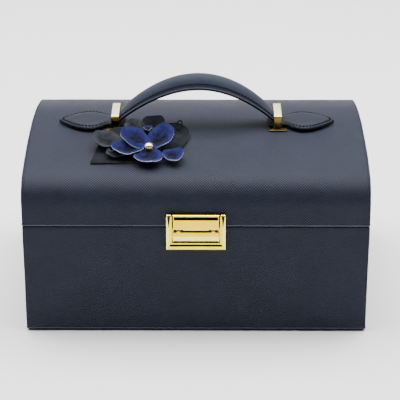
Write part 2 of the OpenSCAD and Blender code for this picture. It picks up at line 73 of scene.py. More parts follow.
# The lid's outline is a crown arc between two shoulder arcs, which meet it at this slope.
SHOULDER_R = 22.5
SHOULDER_SLOPE = radians(14.7)
CROWN_R = (HALF_D - SHOULDER_R * (1 - sin(SHOULDER_SLOPE))) / sin(SHOULDER_SLOPE)
CROWN_Z = CREST_Z - CROWN_R
SHOULDER_Y = HALF_D - SHOULDER_R
SHOULDER_Z = CROWN_Z + (CROWN_R - SHOULDER_R) * cos(SHOULDER_SLOPE)
# Distances of the boards' and the lining's inner faces from the leather.
BOARD_INSET = 5.7
LINING_INSET = 7.7
LINING_HALF_W = 131.2
# Distance of each staple from the middle.
LOOP_X = 68


def crown_height(y):
    """Height of the lid's leather at a distance y from the middle."""
    return CROWN_Z + sqrt(CROWN_R**2 - y**2)


def on_lid(x, y, lift=0.0):
    """Point above the lid's leather, raised by lift along the leather's normal."""
    normal = Vector((0, y, crown_height(y) - CROWN_Z)).normalized()
    return Vector((x, y, crown_height(y))) + normal * lift


def dome_profile(inset, base, shoulder_steps=14, crown_steps=36):
    """Outline of the lid in (y, z), from the front rim over the crown to the rear rim."""
    points = [(-HALF_D + inset, base)]
    for i in range(shoulder_steps + 1):
        a = pi / 2 - (pi / 2 - SHOULDER_SLOPE) * i / shoulder_steps
        r = SHOULDER_R - inset
        points.append((-SHOULDER_Y - r * sin(a), SHOULDER_Z + r * cos(a)))
    for i in range(1, crown_steps):
        a = -SHOULDER_SLOPE + 2 * SHOULDER_SLOPE * i / crown_steps
        r = CROWN_R - inset
        points.append((r * sin(a), CROWN_Z + r * cos(a)))
    front = points[: shoulder_steps + 2]
    return points + [(-y, z) for y, z in reversed(front)]


def dome_arc(y, z):
    """Distance along the lid's outline from the middle of the crown, in millimetres."""
    crown = CROWN_R * SHOULDER_SLOPE
    side = 1 if y > 0 else -1
    angle = atan2(abs(y), z - CROWN_Z)
    if angle <= SHOULDER_SLOPE:
        return side * CROWN_R * angle
    if z >= SHOULDER_Z:
        turn = atan2(abs(y) - SHOULDER_Y, z - SHOULDER_Z)
        return side * (crown + SHOULDER_R * (turn - SHOULDER_SLOPE))
    return side * (crown + SHOULDER_R * (pi / 2 - SHOULDER_SLOPE) + SHOULDER_Z - z)


# --- camera, light and floor


LENS_MM = 148.5
SENSOR_MM = 36
# Metres from here to the end of this section.
CAMERA_REACH = 20
CAMERA_PLACE = (0.0085, -1.297, 0.6645)
# How far the camera looks down and how far it is turned, in degrees.
CAMERA_DOWN = 24.51
CAMERA_TURN = 0.25
FLOOR_REACH = 4.0
# The floor lies a little below the case, so that the two don't share a plane.
FLOOR_Z = -0.0002


def add_camera():
    data = bpy.data.cameras.new("camera")
    data.lens = LENS_MM
    data.sensor_width = SENSOR_MM
    data.clip_end = CAMERA_REACH
    camera = bpy.data.objects.new("camera", data)
    camera.location = CAMERA_PLACE
    camera.rotation_euler = (radians(90 - CAMERA_DOWN), 0, radians(CAMERA_TURN))
    bpy.context.scene.collection.objects.link(camera)
    bpy.context.scene.camera = camera


def add_area_light(name, place, target, size, power):
    data = bpy.data.lights.new(name, "AREA")
    data.shape = "RECTANGLE"
    data.size, data.size_y = size
    data.energy = power
    light = bpy.data.objects.new(name, data)
    light.location = place
    light.rotation_euler = (Vector(target) - Vector(place)).to_track_quat("-Z", "Y").to_euler()
    bpy.context.scene.collection.objects.link(light)


def add_studio():
    add_area_light("overhead_light", (0, 0.25, 1.7), (0, 0.05, 0.1), (2.4, 1.5), 112)
    for name, side in (("left_light", -1), ("right_light", 1)):
        add_area_light(name, (side * 1.5, 0.5, 0.9), (0, 0, 0.1), (0.9, 0.9), 8)
    world = bpy.data.worlds.new("studio")
    world.use_nodes = True
    tree = world.node_tree
    background = tree.nodes["Background"]
    # A bright wall behind the case (+Y) and a dim room in front of it.
    direction = tree.nodes.new("ShaderNodeTexCoord")
    parts = tree.nodes.new("ShaderNodeSeparateXYZ")
    fade = tree.nodes.new("ShaderNodeMapRange")
    fade.interpolation_type = "SMOOTHSTEP"
    for socket, value in (("From Min", -0.5), ("From Max", 0.9), ("To Min", 0.12), ("To Max", 0.7)):
        fade.inputs[socket].default_value = value
    tree.links.new(direction.outputs["Generated"], parts.inputs["Vector"])
    tree.links.new(parts.outputs["Y"], fade.inputs["Value"])
    tree.links.new(fade.outputs["Result"], background.inputs["Strength"])
    background.inputs["Color"].default_value = (1, 1, 1, 1)
    bpy.context.scene.world = world


def add_floor(material):
    data = bpy.data.meshes.new("floor")
    corners = [(x * FLOOR_REACH, y * FLOOR_REACH, 0) for x, y in ((-1, -1), (1, -1), (1, 1), (-1, 1))]
    data.from_pydata(corners, [], [(0, 1, 2, 3)])
    floor = bpy.data.objects.new("floor", data)
    floor.location.z = FLOOR_Z
    data.materials.append(material)
    bpy.context.scene.collection.objects.link(floor)


# --- materials


class Paint:
    """A procedural material: each method adds a node and returns the socket that comes out of it."""

    def __init__(self, name, **shader):
        self.material = bpy.data.materials.new(name)
        self.material.use_nodes = True
        self.tree = self.material.node_tree
        self.shader = self.tree.nodes["Principled BSDF"]
        self.coordinates = self.tree.nodes.new("ShaderNodeTexCoord")
        for key, value in shader.items():
            self.shader.inputs[key.replace("_", " ")].default_value = value

    def node(self, kind, sockets, **settings):
        made = self.tree.nodes.new("ShaderNode" + kind)
        for key, value in settings.items():
            setattr(made, key, value)
        for key, value in sockets.items():
            if isinstance(value, bpy.types.NodeSocket):
                self.tree.links.new(value, made.inputs[key])
            else:
                made.inputs[key].default_value = value
        return made

    def place(self, source="Object", scale=(1, 1, 1), turn=0.0):
        sockets = {"Vector": self.coordinates.outputs[source], "Scale": scale, "Rotation": (0, 0, turn)}
        return self.node("Mapping", sockets).outputs["Vector"]

    def noise(self, where, scale, detail=3.0, roughness=0.55, distortion=0.0):
        sockets = {"Vector": where, "Scale": scale, "Detail": detail}
        sockets.update({"Roughness": roughness, "Distortion": distortion})
        return self.node("TexNoise", sockets).outputs["Fac"]

    def bands(self, where, scale, distortion):
        sockets = {"Vector": where, "Scale": scale, "Distortion": distortion}
        sockets.update({"Detail": 2.0, "Detail Scale": 0.4})
        return self.node("TexWave", sockets, wave_type="BANDS", bands_direction="X").outputs["Fac"]

    def math(self, operation, first, second):
        return self.node("Math", {0: first, 1: second}, operation=operation).outputs[0]

    def weigh(self, *terms):
        """Sum of (value, weight) terms."""
        total = 0.0
        for value, weight in terms:
            total = self.node("Math", {0: value, 1: weight, 2: total}, operation="MULTIPLY_ADD").outputs[0]
        return total

    def ramp(self, value, *stops):
        made = self.node("ValToRGB", {"Fac": value})
        elements = made.color_ramp.elements
        while len(elements) < len(stops):
            elements.new(0.5)
        for element, (position, colour) in zip(elements, stops):
            element.position = position
            element.color = (*colour, 1)
        return made.outputs["Color"]

    def span(self, value, low, high):
        sockets = {"Value": value, "To Min": low, "To Max": high}
        return self.node("MapRange", sockets).outputs["Result"]

    def bump(self, height, distance, strength=1.0):
        sockets = {"Height": height, "Distance": distance, "Strength": strength}
        return self.node("Bump", sockets).outputs["Normal"]

    def wire(self, **sockets):
        for key, value in sockets.items():
            self.tree.links.new(value, self.shader.inputs[key.replace("_", " ")])
        return self.material


def leather(name, dark, light, pitch=1.6, depth=0.0003, rough=(0.34, 0.46)):
    """Cross-hatched grain leather: two crossing sets of fine ridges, broken up by noise."""
    paint = Paint(name, Specular_IOR_Level=0.11, Sheen_Weight=0.02, Sheen_Roughness=0.5)
    uv = paint.coordinates.outputs["UV"]
    # A wave texture of this scale has one band in each pitch.
    ridge = pi / (10 * pitch)
    rising = paint.bands(paint.place("UV", turn=radians(-45)), ridge, 1.1)
    falling = paint.bands(paint.place("UV", turn=radians(45)), ridge, 1.3)
    patch = paint.noise(uv, 0.16, 2.0)
    grain = paint.math("MULTIPLY", paint.weigh((rising, 0.55), (falling, 0.45)), paint.span(patch, 0.8, 1.2))
    crinkle = paint.noise(uv, 1.1, 3.0, 0.6)
    cloud = paint.noise(uv, 0.03, 3.0)
    height = paint.weigh((grain, 1), (crinkle, 0.35))
    # Colour follows the grain's height as well as a random cloud: darker in the valleys, a painted shade, and
    # lighter on the ridges, a painted highlight.
    colour = paint.ramp(paint.weigh((height, 0.8), (cloud, 0.3)), (0.35, dark), (1.0, light))
    roughness = paint.span(paint.weigh((cloud, 1), (grain, -0.3)), *rough)
    return paint.wire(Base_Color=colour, Roughness=roughness, Normal=paint.bump(height, depth))


def gold(name, tint=(0.95, 0.69, 0.05), rough=(0.05, 0.13)):
    """Polished plated metal with faint brushing and handling haze."""
    paint = Paint(name, Metallic=1.0)
    brushed = paint.noise(paint.place(scale=(60, 900, 900)), 1.0, 3.0)
    haze = paint.noise(paint.place(), 90.0, 3.0)
    colour = paint.ramp(haze, (0.3, tuple(0.88 * c for c in tint)), (0.7, tint))
    roughness = paint.span(paint.weigh((brushed, 0.6), (haze, 1)), *rough)
    return paint.wire(Base_Color=colour, Roughness=roughness, Normal=paint.bump(brushed, 0.000004))


def napped(name):
    """A dull material with a short fuzz, whose colour is still to be wired."""
    paint = Paint(name, Sheen_Weight=0.05, Sheen_Roughness=0.4, Specular_IOR_Level=0.1)
    fuzz = paint.noise(paint.place(), 2600.0, 3.0, 0.7)
    paint.wire(Roughness=paint.span(fuzz, 0.8, 0.98), Normal=paint.bump(fuzz, 0.00015, 0.6))
    return paint


def suede(name, dark, light):
    """Napped leather: soft blotches and a short fuzz."""
    paint = napped(name)
    blotch = paint.noise(paint.place(), 160.0, 4.0, 0.6)
    fuzz = paint.noise(paint.place(), 2600.0, 3.0, 0.7)
    tone = paint.weigh((blotch, 0.65), (fuzz, 0.35))
    return paint.wire(Base_Color=paint.ramp(tone, (0.32, dark), (0.68, light)))


def petal_suede(name, dark, light):
    """Petal suede: painted shade makes the cup dark, and the colour turns paler and mottled towards the rim,
    with faint veins.
    """
    paint = napped(name)
    uv = paint.coordinates.outputs["UV"]
    radius = paint.node("VectorMath", {0: uv}, operation="LENGTH").outputs["Value"]
    blotch = paint.noise(paint.place(), 260.0, 5.0, 0.75)
    veins = paint.noise(paint.place("UV", (2.0, 9.0, 1.0)), 2.0, 3.0)
    # Low in the cup and high at the rim: the painted shade in the cup.
    cup_painted_shade = paint.math("POWER", radius, 2.2)
    tone = paint.weigh((cup_painted_shade, 0.6), (blotch, 1.3), (veins, 0.5), (1.0, -0.66))
    return paint.wire(Base_Color=paint.ramp(tone, (0.2, dark), (0.85, light)))


def velvet(name, dark, light):
    """Short pile that shows brushed patches."""
    paint = Paint(name, Sheen_Weight=0.6, Sheen_Roughness=0.35, Specular_IOR_Level=0.08)
    patch = paint.noise(paint.place(), 38.0, 4.0, 0.6, 0.8)
    pile = paint.noise(paint.place(), 3200.0, 2.0, 0.7)
    colour = paint.ramp(paint.weigh((patch, 0.7), (pile, 0.3)), (0.3, dark), (0.7, light))
    roughness = paint.span(patch, 0.78, 0.95)
    return paint.wire(Base_Color=colour, Roughness=roughness, Normal=paint.bump(pile, 0.0002, 0.5))


def mirror_silver():
    paint = Paint("mirror_silver", Metallic=1.0)
    smear = paint.noise(paint.place(), 25.0, 5.0, 0.7, 1.5)
    colour = paint.ramp(smear, (0.2, (0.80, 0.83, 0.84)), (0.8, (0.90, 0.92, 0.93)))
    return paint.wire(Base_Color=colour, Roughness=paint.span(smear, 0.012, 0.05))


def fibre_board():
    paint = Paint("fibre_board", Specular_IOR_Level=0.2)
    fibres = paint.noise(paint.place(scale=(300, 1400, 300)), 1.0, 4.0, 0.7)
    colour = paint.ramp(fibres, (0.3, (0.16, 0.10, 0.055)), (0.7, (0.34, 0.23, 0.13)))
    return paint.wire(Base_Color=colour, Roughness=paint.span(fibres, 0.75, 0.95),
                      Normal=paint.bump(fibres, 0.0001))


def pearl():
    paint = Paint("pearl", Metallic=0.9, Coat_Weight=0.6, Coat_Roughness=0.08)
    nacre = paint.noise(paint.place(), 500.0, 3.0, 0.5, 0.6)
    colour = paint.ramp(nacre, (0.3, (0.72, 0.60, 0.26)), (0.7, (0.97, 0.88, 0.50)))
    return paint.wire(Base_Color=colour, Roughness=paint.span(nacre, 0.16, 0.3))


def pale_floor():
    paint = Paint("pale_floor", Specular_IOR_Level=0.1)
    cloud = paint.noise(paint.place(), 2.0, 3.0)
    colour = paint.ramp(cloud, (0.3, (0.92, 0.92, 0.92)), (0.7, (0.94, 0.94, 0.94)))
    return paint.wire(Base_Color=colour, Roughness=paint.span(cloud, 0.8, 0.95))


NAVY = leather("navy_leather", (0.0045, 0.0054, 0.0095), (0.0245, 0.0300, 0.0520))
# Lighter navy on the crest of each hem: a painted highlight.
HEM_PAINTED_HIGHLIGHT = leather("hem_painted_highlight", (0.035, 0.039, 0.055), (0.085, 0.094, 0.125), 1.2, 0.0001, (0.4, 0.55))
STRAP = leather("strap_leather", (0.005, 0.0063, 0.0105), (0.024, 0.030, 0.047), 1.0, 0.00015, (0.38, 0.5))
GRIP = leather("grip_leather", (0.011, 0.0137, 0.0215), (0.047, 0.058, 0.087), 1.0, 0.00015, (0.45, 0.6))
EDGE_PAINT = leather("edge_paint", (0.001, 0.0012, 0.002), (0.004, 0.0046, 0.007), 1.6, 0.00004, (0.4, 0.55))
BLACK_BASE = leather("black_sheet", (0.002, 0.002, 0.0025), (0.007, 0.007, 0.008), 1.2, 0.0001, (0.6, 0.8))
THREAD = suede("thread", (0.0006, 0.0007, 0.001), (0.003, 0.0035, 0.005))
GOLD = gold("gold_metal")
GOLD_SATIN = gold("gold_satin", (0.96, 0.64, 0.02), (0.24, 0.34))
# Pale gold on the clasp's edges and the flap's lower face: a painted highlight.
GOLD_PAINTED_HIGHLIGHT = gold("gold_painted_highlight", (0.99, 0.93, 0.20), (0.12, 0.2))
# Pale, rough gold on the staples' tops: a painted highlight.
GOLD_BRUSHED_PAINTED_HIGHLIGHT = gold("gold_brushed_painted_highlight", (0.99, 0.94, 0.62), (0.46, 0.56))
# Dark bronze gold on the staples' front legs, their plates and the bead's seat: painted shade and a painted
# dark reflection.
GOLD_PAINTED_SHADE = gold("gold_painted_shade", (0.16, 0.115, 0.05), (0.12, 0.2))
# Near-black gold in the clasp's grooves and recess, on its inner slope, knuckles and pin: painted shade.
GOLD_PAINTED_DEEP_SHADE = gold("gold_painted_deep_shade", (0.030, 0.014, 0.004), (0.25, 0.4))
BLACK_SUEDE = suede("black_suede", (0.0014, 0.0016, 0.0024), (0.014, 0.016, 0.021))
BLACK_PETAL = petal_suede("black_petal", (0.0008, 0.0009, 0.0013), (0.009, 0.010, 0.013))
# Black petal suede painted lighter, as if lit: painted light.
BLACK_PETAL_PAINTED_LIGHT = petal_suede("black_petal_painted_light", (0.004, 0.0045, 0.006), (0.032, 0.036, 0.045))
BLUE_SUEDE = petal_suede("blue_suede", (0.0006, 0.0007, 0.0024), (0.0165, 0.0190, 0.112))
PALE_EDGE = suede("pale_cut_edge", (0.42, 0.52, 0.60), (0.80, 0.86, 0.88))
DARK_EDGE = suede("dark_cut_edge", (0.015, 0.016, 0.019), (0.05, 0.052, 0.058))
VELVET = velvet("velvet", (0.34, 0.315, 0.29), (0.50, 0.475, 0.445))
VELVET_SOFT = velvet("velvet_roll", (0.38, 0.355, 0.33), (0.55, 0.52, 0.49))
MIRROR = mirror_silver()
BOARD = fibre_board()
PEARL = pearl()


# --- mesh building, in millimetres


# Points closer than this are joined when a piece is finished.
MERGE = 0.002
X, Y, Z = range(3)


def round_angles(count):
    return [2 * pi * k / count for k in range(count)]


def path_lengths(points):
    """Distance along a path from its first point to each point."""
    lengths = [0.0]
    for a, b in zip(points, points[1:]):
        lengths.append(lengths[-1] + (b - a).length)
    return lengths


def bevel(part, edges, radius, segments):
    bmesh.ops.bevel(part, geom=edges, offset=radius, segments=segments, profile=0.5, affect="EDGES")


def rounded_block(low, high, radius=0.0, segments=3):
    """A bmesh box with rounded edges."""
    part = bmesh.new()
    size = Vector(high) - Vector(low)
    middle = (Vector(high) + Vector(low)) / 2
    bmesh.ops.create_cube(part, size=1, matrix=Matrix.Translation(middle) @ Matrix.Diagonal((*size, 1)))
    if radius > 0:
        bevel(part, part.edges[:], radius, segments)
    return part


class Shape:
    """Collects faces in millimetres and turns them into one piece."""

    def __init__(self):
        self.bm = bmesh.new()
        self.uv = self.bm.loops.layers.uv.new("UVMap")
        self.mapped = self.bm.faces.layers.int.new("mapped")

    def face(self, verts, slot=0, uvs=None):
        if len(set(verts)) < 3:
            return
        try:
            made = self.bm.faces.new(verts)
        except ValueError:
            return
        made.material_index = slot
        if uvs is not None:
            made[self.mapped] = 1
            for loop, value in zip(made.loops, uvs):
                loop[self.uv].uv = value

    def loft(self, rings, closed=True, caps=(False, False), slot=0, uvs=None):
        """Skins rings that have equal numbers of points; slot is a number or a function of (ring, point)."""
        grid = [[self.bm.verts.new(p) for p in ring] for ring in rings]
        count = len(rings[0])
        last = count if closed else count - 1
        for i in range(len(grid) - 1):
            for j in range(last):
                k = (j + 1) % count
                corners = (i, j), (i, k), (i + 1, k), (i + 1, j)
                mapped = [uvs(a, b) for a, b in corners] if uvs else None
                self.face([grid[a][b] for a, b in corners], slot(i, j) if callable(slot) else slot, mapped)
        end_slot = 0 if callable(slot) else slot
        if caps[0]:
            self.face(list(reversed(grid[0])), end_slot)
        if caps[1]:
            self.face(grid[-1], end_slot)
        return grid

    def box(self, low, high, radius=0.0, segments=3, slot=0):
        self.absorb(rounded_block(low, high, radius, segments), slot)

    def absorb(self, part, slot=0):
        """Takes over every face of another bmesh."""
        copied = {v: self.bm.verts.new(v.co) for v in part.verts}
        for f in part.faces:
            self.face([copied[v] for v in f.verts], slot)
        part.free()

    def tube(self, path, radii, sides=10, slot=0, closed=False):
        """A round tube along a path; radii is one number or one for each point."""
        count = len(path)
        radii = radii if hasattr(radii, "__len__") else [radii] * count
        rings = []
        for i, p in enumerate(path):
            before = path[(i - 1) % count] if closed or i else p
            after = path[(i + 1) % count] if closed or i < count - 1 else p
            along = (Vector(after) - Vector(before)).normalized()
            across = along.cross(Vector((0, 0, 1)))
            across = across.normalized() if across.length > 1e-3 else Vector((1, 0, 0))
            up = across.cross(along)
            out = [across * cos(a) + up * sin(a) for a in round_angles(sides)]
            rings.append([Vector(p) + way * radii[i] for way in out])
        if closed:
            rings.append(rings[0])
        self.loft(rings, caps=(not closed, not closed), slot=slot)

    def stitches(self, path, lift, length=2.6, pitch=3.5, radius=0.32):
        """A row of thread stitches along a path of (point, normal) pairs."""
        # Place along the stitch and thickness there, as fractions.
        profile = ((0.0, 0.35), (0.12, 0.9), (0.5, 1.0), (0.88, 0.9), (1.0, 0.35))
        lengths = path_lengths([point for point, _ in path])

        def at(s):
            for i in range(len(path) - 1):
                if s <= lengths[i + 1] or i == len(path) - 2:
                    f = (s - lengths[i]) / max(1e-6, lengths[i + 1] - lengths[i])
                    point, normal = (path[i][k].lerp(path[i + 1][k], f) for k in (0, 1))
                    return point + normal.normalized() * lift

        for k in range(int(lengths[-1] / pitch)):
            start = pitch * (k + 0.5) - length / 2
            self.tube([at(start + f * length) for f, _ in profile], [w * radius for _, w in profile], sides=6)

    def sheet(self, surface, rhos, turns, thickness, slot=0):
        """A thin disc-like sheet: surface(rho, phi) gives a point, and the cut edge has slot 1."""
        angles = round_angles(turns)
        top = [[surface((i + 1) / rhos, a) for a in angles] for i in range(rhos)]
        down = Vector((0, 0, -thickness))
        low = [[p + down for p in ring] for ring in top]
        middle = surface(0.0, 0.0)

        def spread(i, j):
            a = angles[j % turns]
            return ((i + 1) / rhos * cos(a), (i + 1) / rhos * sin(a))

        upper = self.loft(top, slot=slot, uvs=spread)
        lower = self.loft([list(reversed(ring)) for ring in low], slot=slot)
        for ring, centre in ((upper[0], middle), (lower[0], middle + down)):
            hub = self.bm.verts.new(centre)
            for j in range(turns):
                k = (j + 1) % turns
                self.face([hub, ring[j], ring[k]], slot, [(0, 0), spread(0, j), spread(0, k)])
        under = list(reversed(lower[-1]))
        for j in range(turns):
            k = (j + 1) % turns
            self.face([upper[-1][j], under[j], under[k], upper[-1][k]], 1)

    def map_rest(self):
        """Gives each face with no mapping yet a flat one, seen along its main direction."""
        for f in self.bm.faces:
            if f[self.mapped]:
                continue
            n = f.normal
            axis = max(range(3), key=lambda k: abs(n[k]))
            first, second = [(Y, Z), (X, Z), (X, Y)][axis]
            for loop in f.loops:
                loop[self.uv].uv = (loop.vert.co[first], loop.vert.co[second])

    def piece(self, name, materials, body, stands_for, slot, smooth=40):
        """Makes the object: smooth is the angle in degrees above which an edge stays sharp."""
        bmesh.ops.remove_doubles(self.bm, verts=self.bm.verts, dist=MERGE)
        bmesh.ops.recalc_face_normals(self.bm, faces=self.bm.faces)
        self.bm.normal_update()
        self.map_rest()
        mesh = bpy.data.meshes.new(name)
        bmesh.ops.scale(self.bm, vec=(MM, MM, MM), verts=self.bm.verts)
        self.bm.to_mesh(mesh)
        self.bm.free()
        for material in materials if isinstance(materials, (list, tuple)) else [materials]:
            mesh.materials.append(material)
        mesh.shade_smooth()
        mesh.set_sharp_from_angle(angle=radians(smooth))
        made = bpy.data.objects.new(name, mesh)
        bpy.context.scene.collection.objects.link(made)
        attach(made, body)
        if stands_for:
            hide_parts(*stands_for)
        return made


def slice_up(bm, axis, values):
    """Cuts every face at planes across one axis."""
    normal = Vector([1.0 if k == axis else 0.0 for k in range(3)])
    for value in values:
        geometry = bm.verts[:] + bm.edges[:] + bm.faces[:]
        bmesh.ops.bisect_plane(bm, geom=geometry, dist=1e-4, plane_co=normal * value, plane_no=normal)


def steps(low, high, pitch):
    count = max(1, round((high - low) / pitch))
    return [low + (high - low) * i / count for i in range(count + 1)]


# --- leather skins

CORNER_R = 1.3
# The pressed line beside each end panel: its distance from the end and its depth.
EDGE_LINE = 1.7
EDGE_DEPTH = 0.28
HEM_R = 1.5
# Size of the cells that a skin is cut into.
CELL = 8
# How far the turned leather stands over the boards' edges.
RIM_COVER = 0.15
# How far the lid's leather is turned up inside its rim.
TURN_IN = 6.2


def soften_skin(bm, quiet_z):
    """Slight unevenness of leather glued over board, and the pressed line beside each end panel."""
    bm.normal_update()
    moves = {}
    for v in bm.verts:
        calm = min(1.0, abs(v.co.z - quiet_z) / 8) * min(1.0, v.co.z / 12)
        wave = noise.noise(v.co * 0.028) * 0.22 + noise.noise(v.co * 0.09 + Vector((7, 3, 1))) * 0.06
        shift = v.normal * wave * calm
        if abs(abs(v.co.x) - (HALF_W - EDGE_LINE)) < 0.02 and abs(v.normal.x) < 0.5:
            shift -= v.normal * EDGE_DEPTH
        moves[v] = shift
    for v, shift in moves.items():
        v.co += shift


def hem(name, body, z):
    """Rolled lower edge of a leather skin, right round the box, with a painted highlight along its crest."""
    shape = Shape()
    x, y = HALF_W - HEM_R, HALF_D - HEM_R
    path = []
    for cx, cy, start in ((x, y, 0), (-x, y, 90), (-x, -y, 180), (x, -y, 270)):
        for k in range(5):
            a = radians(start + 22.5 * k)
            path.append((cx, cy, cos(a), sin(a)))
    # Distance outwards and height of each point.
    section = [(-1.2, 0.15), (-0.35, 0.05)]
    section += [(-0.25 + 0.6 * cos(a), 0.85 + 0.8 * sin(a))
                for a in (radians(-70 + 28 * k) for k in range(6))]
    section += [(-0.6, 1.9)]
    rings = [[(cx + ca * (HEM_R + d), cy + sa * (HEM_R + d), z + h) for d, h in section]
             for cx, cy, ca, sa in path]
    rings.append(rings[0])
    # The crest rows take the lighter navy, a painted highlight.
    crest_rows = (2, 3, 4, 5)
    shape.loft(rings, closed=False, slot=lambda i, j: 1 if j in crest_rows else 0)
    shape.piece(name, [NAVY, HEM_PAINTED_HIGHLIGHT], body, (), "navy_leather")


def slice_skin(part, z_low, z_high):
    """Cuts a skin into cells, with extra cuts at the pressed lines."""
    lines = [side * (HALF_W - EDGE_LINE + d) for side in (1, -1) for d in (-0.35, 0, 0.35)]
    slice_up(part, X, steps(-HALF_W + 4, HALF_W - 4, CELL) + lines)
    slice_up(part, Y, steps(-HALF_D + 4, HALF_D - 4, CELL))
    slice_up(part, Z, steps(z_low, z_high, CELL))


def leather_case():
    """Lower case: leather over the boards, turned over the rim and under the base."""
    low = CASE_LOW + Vector((0, 0, 0.3))
    high = CASE_HIGH + Vector((0, 0, RIM_COVER))
    part = rounded_block(low, high, CORNER_R, 4)
    for cap in [f for f in part.faces if abs(f.normal.z) > 0.99]:
        bmesh.ops.inset_individual(part, faces=[cap], thickness=BOARD_INSET - CORNER_R + 0.2)
        bmesh.ops.delete(part, geom=[cap], context="FACES_ONLY")
    slice_skin(part, 4, SEAM_Z - 4)
    soften_skin(part, SEAM_Z)
    shape = Shape()
    shape.absorb(part)
    shape.piece("case_leather", NAVY, "case", ["case_cover"], "navy_leather")


def leather_lid():
    """Domed lid: one skin over the crown with end panels, turned under at the rim."""
    part = bmesh.new()
    outline = dome_profile(0.0, LID_Z - RIM_COVER)
    ends = [[part.verts.new((x, y, z)) for y, z in outline] for x in (-HALF_W, HALF_W)]
    count = len(outline)
    for j in range(count - 1):
        part.faces.new((ends[0][j], ends[0][j + 1], ends[1][j + 1], ends[1][j]))
    part.faces.new((ends[0][-1], ends[0][0], ends[1][0], ends[1][-1]))
    part.faces.new(ends[0])
    part.faces.new(list(reversed(ends[1])))
    bmesh.ops.recalc_face_normals(part, faces=part.faces)
    sharp = [e for e in part.edges if len(e.link_faces) == 2 and e.calc_face_angle() > radians(40)]
    bevel(part, sharp, CORNER_R, 4)
    bottom = max((f for f in part.faces if f.normal.z < -0.99), key=lambda f: f.calc_area())
    bmesh.ops.inset_individual(part, faces=[bottom], thickness=BOARD_INSET - CORNER_R + 0.15)
    inner_edges = list(bottom.edges)
    bmesh.ops.delete(part, geom=[bottom], context="FACES_ONLY")
    for element in bmesh.ops.extrude_edge_only(part, edges=inner_edges)["geom"]:
        if isinstance(element, bmesh.types.BMVert):
            element.co.z += TURN_IN
    slice_skin(part, LID_Z + 4, SHOULDER_Z)
    soften_skin(part, LID_Z)
    shape = Shape()
    part.normal_update()
    copied = {v: shape.bm.verts.new(v.co) for v in part.verts}
    for f in part.faces:
        mapped = None
        if abs(f.normal.x) < 0.7 and f.normal.z > -0.5:
            mapped = [(v.co.x, dome_arc(v.co.y, v.co.z)) for v in f.verts]
        shape.face([copied[v] for v in f.verts], 0, mapped)
    part.free()
    shape.piece("lid_leather", NAVY, "lid", ["lid_cover"], "navy_leather")


# --- clasp

# Widths of the border's arms and of its bottom bar.
CLASP_ARM = 4.6
CLASP_BAR = 6.6
# Distance of the middle of an arm's groove from the outer edge.
GROOVE_AT = 2.2
FLAP_HINGE_Z = 92.4
KNUCKLE_X = 14
KNUCKLE_R = 0.68
# How far a knuckle's lug reaches from the hinge's axis into its plate.
KNUCKLE_LUG = 1.2
PLATE_T = 1.2
PLATE_FRONT = -103.4


def clasp_border():
    """U-shaped border with an outer slope, an inner slope and a thin lip, mitred at the corners; its outer
    edge and slope carry a painted highlight, and the bar's inner slope and the arms' grooves a painted shade.
    """
    low, high = box_mm("clasp_frame")
    front, half, foot, top = low.y, high.x, low.z, high.z
    # Distance inwards from the outer edge, and depth behind the front, for the bottom bar.
    bar = [(0, 3.2), (0, 1.0), (0.2, 0.75), (1.0, 0.35), (2.0, 0.1), (2.35, 0.0), (2.5, 0.1), (3.4, 0.85),
           (3.5, 0.85), (3.6, 0.42), (3.8, 0.32), (4.4, 0.32), (CLASP_ARM, 0.5), (CLASP_ARM, 3.2)]
    # The arms have a groove in their face that narrows from its top to nothing; near the top its rows are
    # darkened with painted shade.
    groove_shade_rows = (3, 4, 5)

    def arm(side, z, groove, shrink=0.0, sink=0.0):
        bed = 0.05 + 0.3 * groove
        section = bar[:2] + [(0.25, 0.45), (GROOVE_AT - 1.25 * groove, 0.05), (GROOVE_AT - 1.1 * groove, bed),
                             (GROOVE_AT + groove, bed), (GROOVE_AT + 1.15 * groove, 0.05)]
        section += [(3.7, 0.12), (3.95, 0.3), (4.05, 0.3), (4.15, 0.3), (4.4, 0.34)] + bar[12:]
        points = []
        for across, depth in section:
            across = min(max(across, shrink), CLASP_ARM - shrink)
            points.append((side * (half - across), front + depth + sink, z))
        return points

    def corner(side):
        return [(side * (half - a), front + d, foot + a * CLASP_BAR / CLASP_ARM) for a, d in bar]

    shape = Shape()
    # Drop below the top, width of the groove, and how far the rounded end draws in and back.
    end = [(0.0, 0.05, 0.9, 0.9), (0.3, 0.3, 0.4, 0.4), (0.8, 0.8, 0.1, 0.12), (1.5, 1.0, 0.0, 0.0),
           (6.5, 0.55, 0.0, 0.0), (11.5, 0.02, 0.0, 0.0), (22.0, 0.02, 0.0, 0.0)]
    rings = [arm(-1, top - drop, groove, shrink, sink) for drop, groove, shrink, sink in end]
    rings += [corner(-1), corner(1)]
    rings += [arm(1, top - drop, groove, shrink, sink) for drop, groove, shrink, sink in reversed(end)]
    last = len(rings) - 1
    arm_strips = 5
    # Rows of the outer edge and slope, painted with a highlight, and of the bar's inner slope, painted with
    # shade.
    edge_highlight_rows, slope_shade_rows = (1, 2), (6, 7)

    def finish(i, j):
        if j in edge_highlight_rows:
            return 2
        if min(i, last - 1 - i) < arm_strips:
            return 1 if j in groove_shade_rows else 0
        return 1 if j in slope_shade_rows and i == last // 2 else 0

    shape.loft(rings, caps=(True, True), slot=finish)
    shape.box((-half + 0.4, -HALF_D - 1.0, foot + 0.4), (half - 0.4, -HALF_D, SEAM_Z - 0.4), 0.25)
    finishes = [GOLD, GOLD_PAINTED_DEEP_SHADE, GOLD_PAINTED_HIGHLIGHT]
    shape.piece("clasp_border", finishes, "case", ["clasp_frame"], "gold_metal", smooth=22)


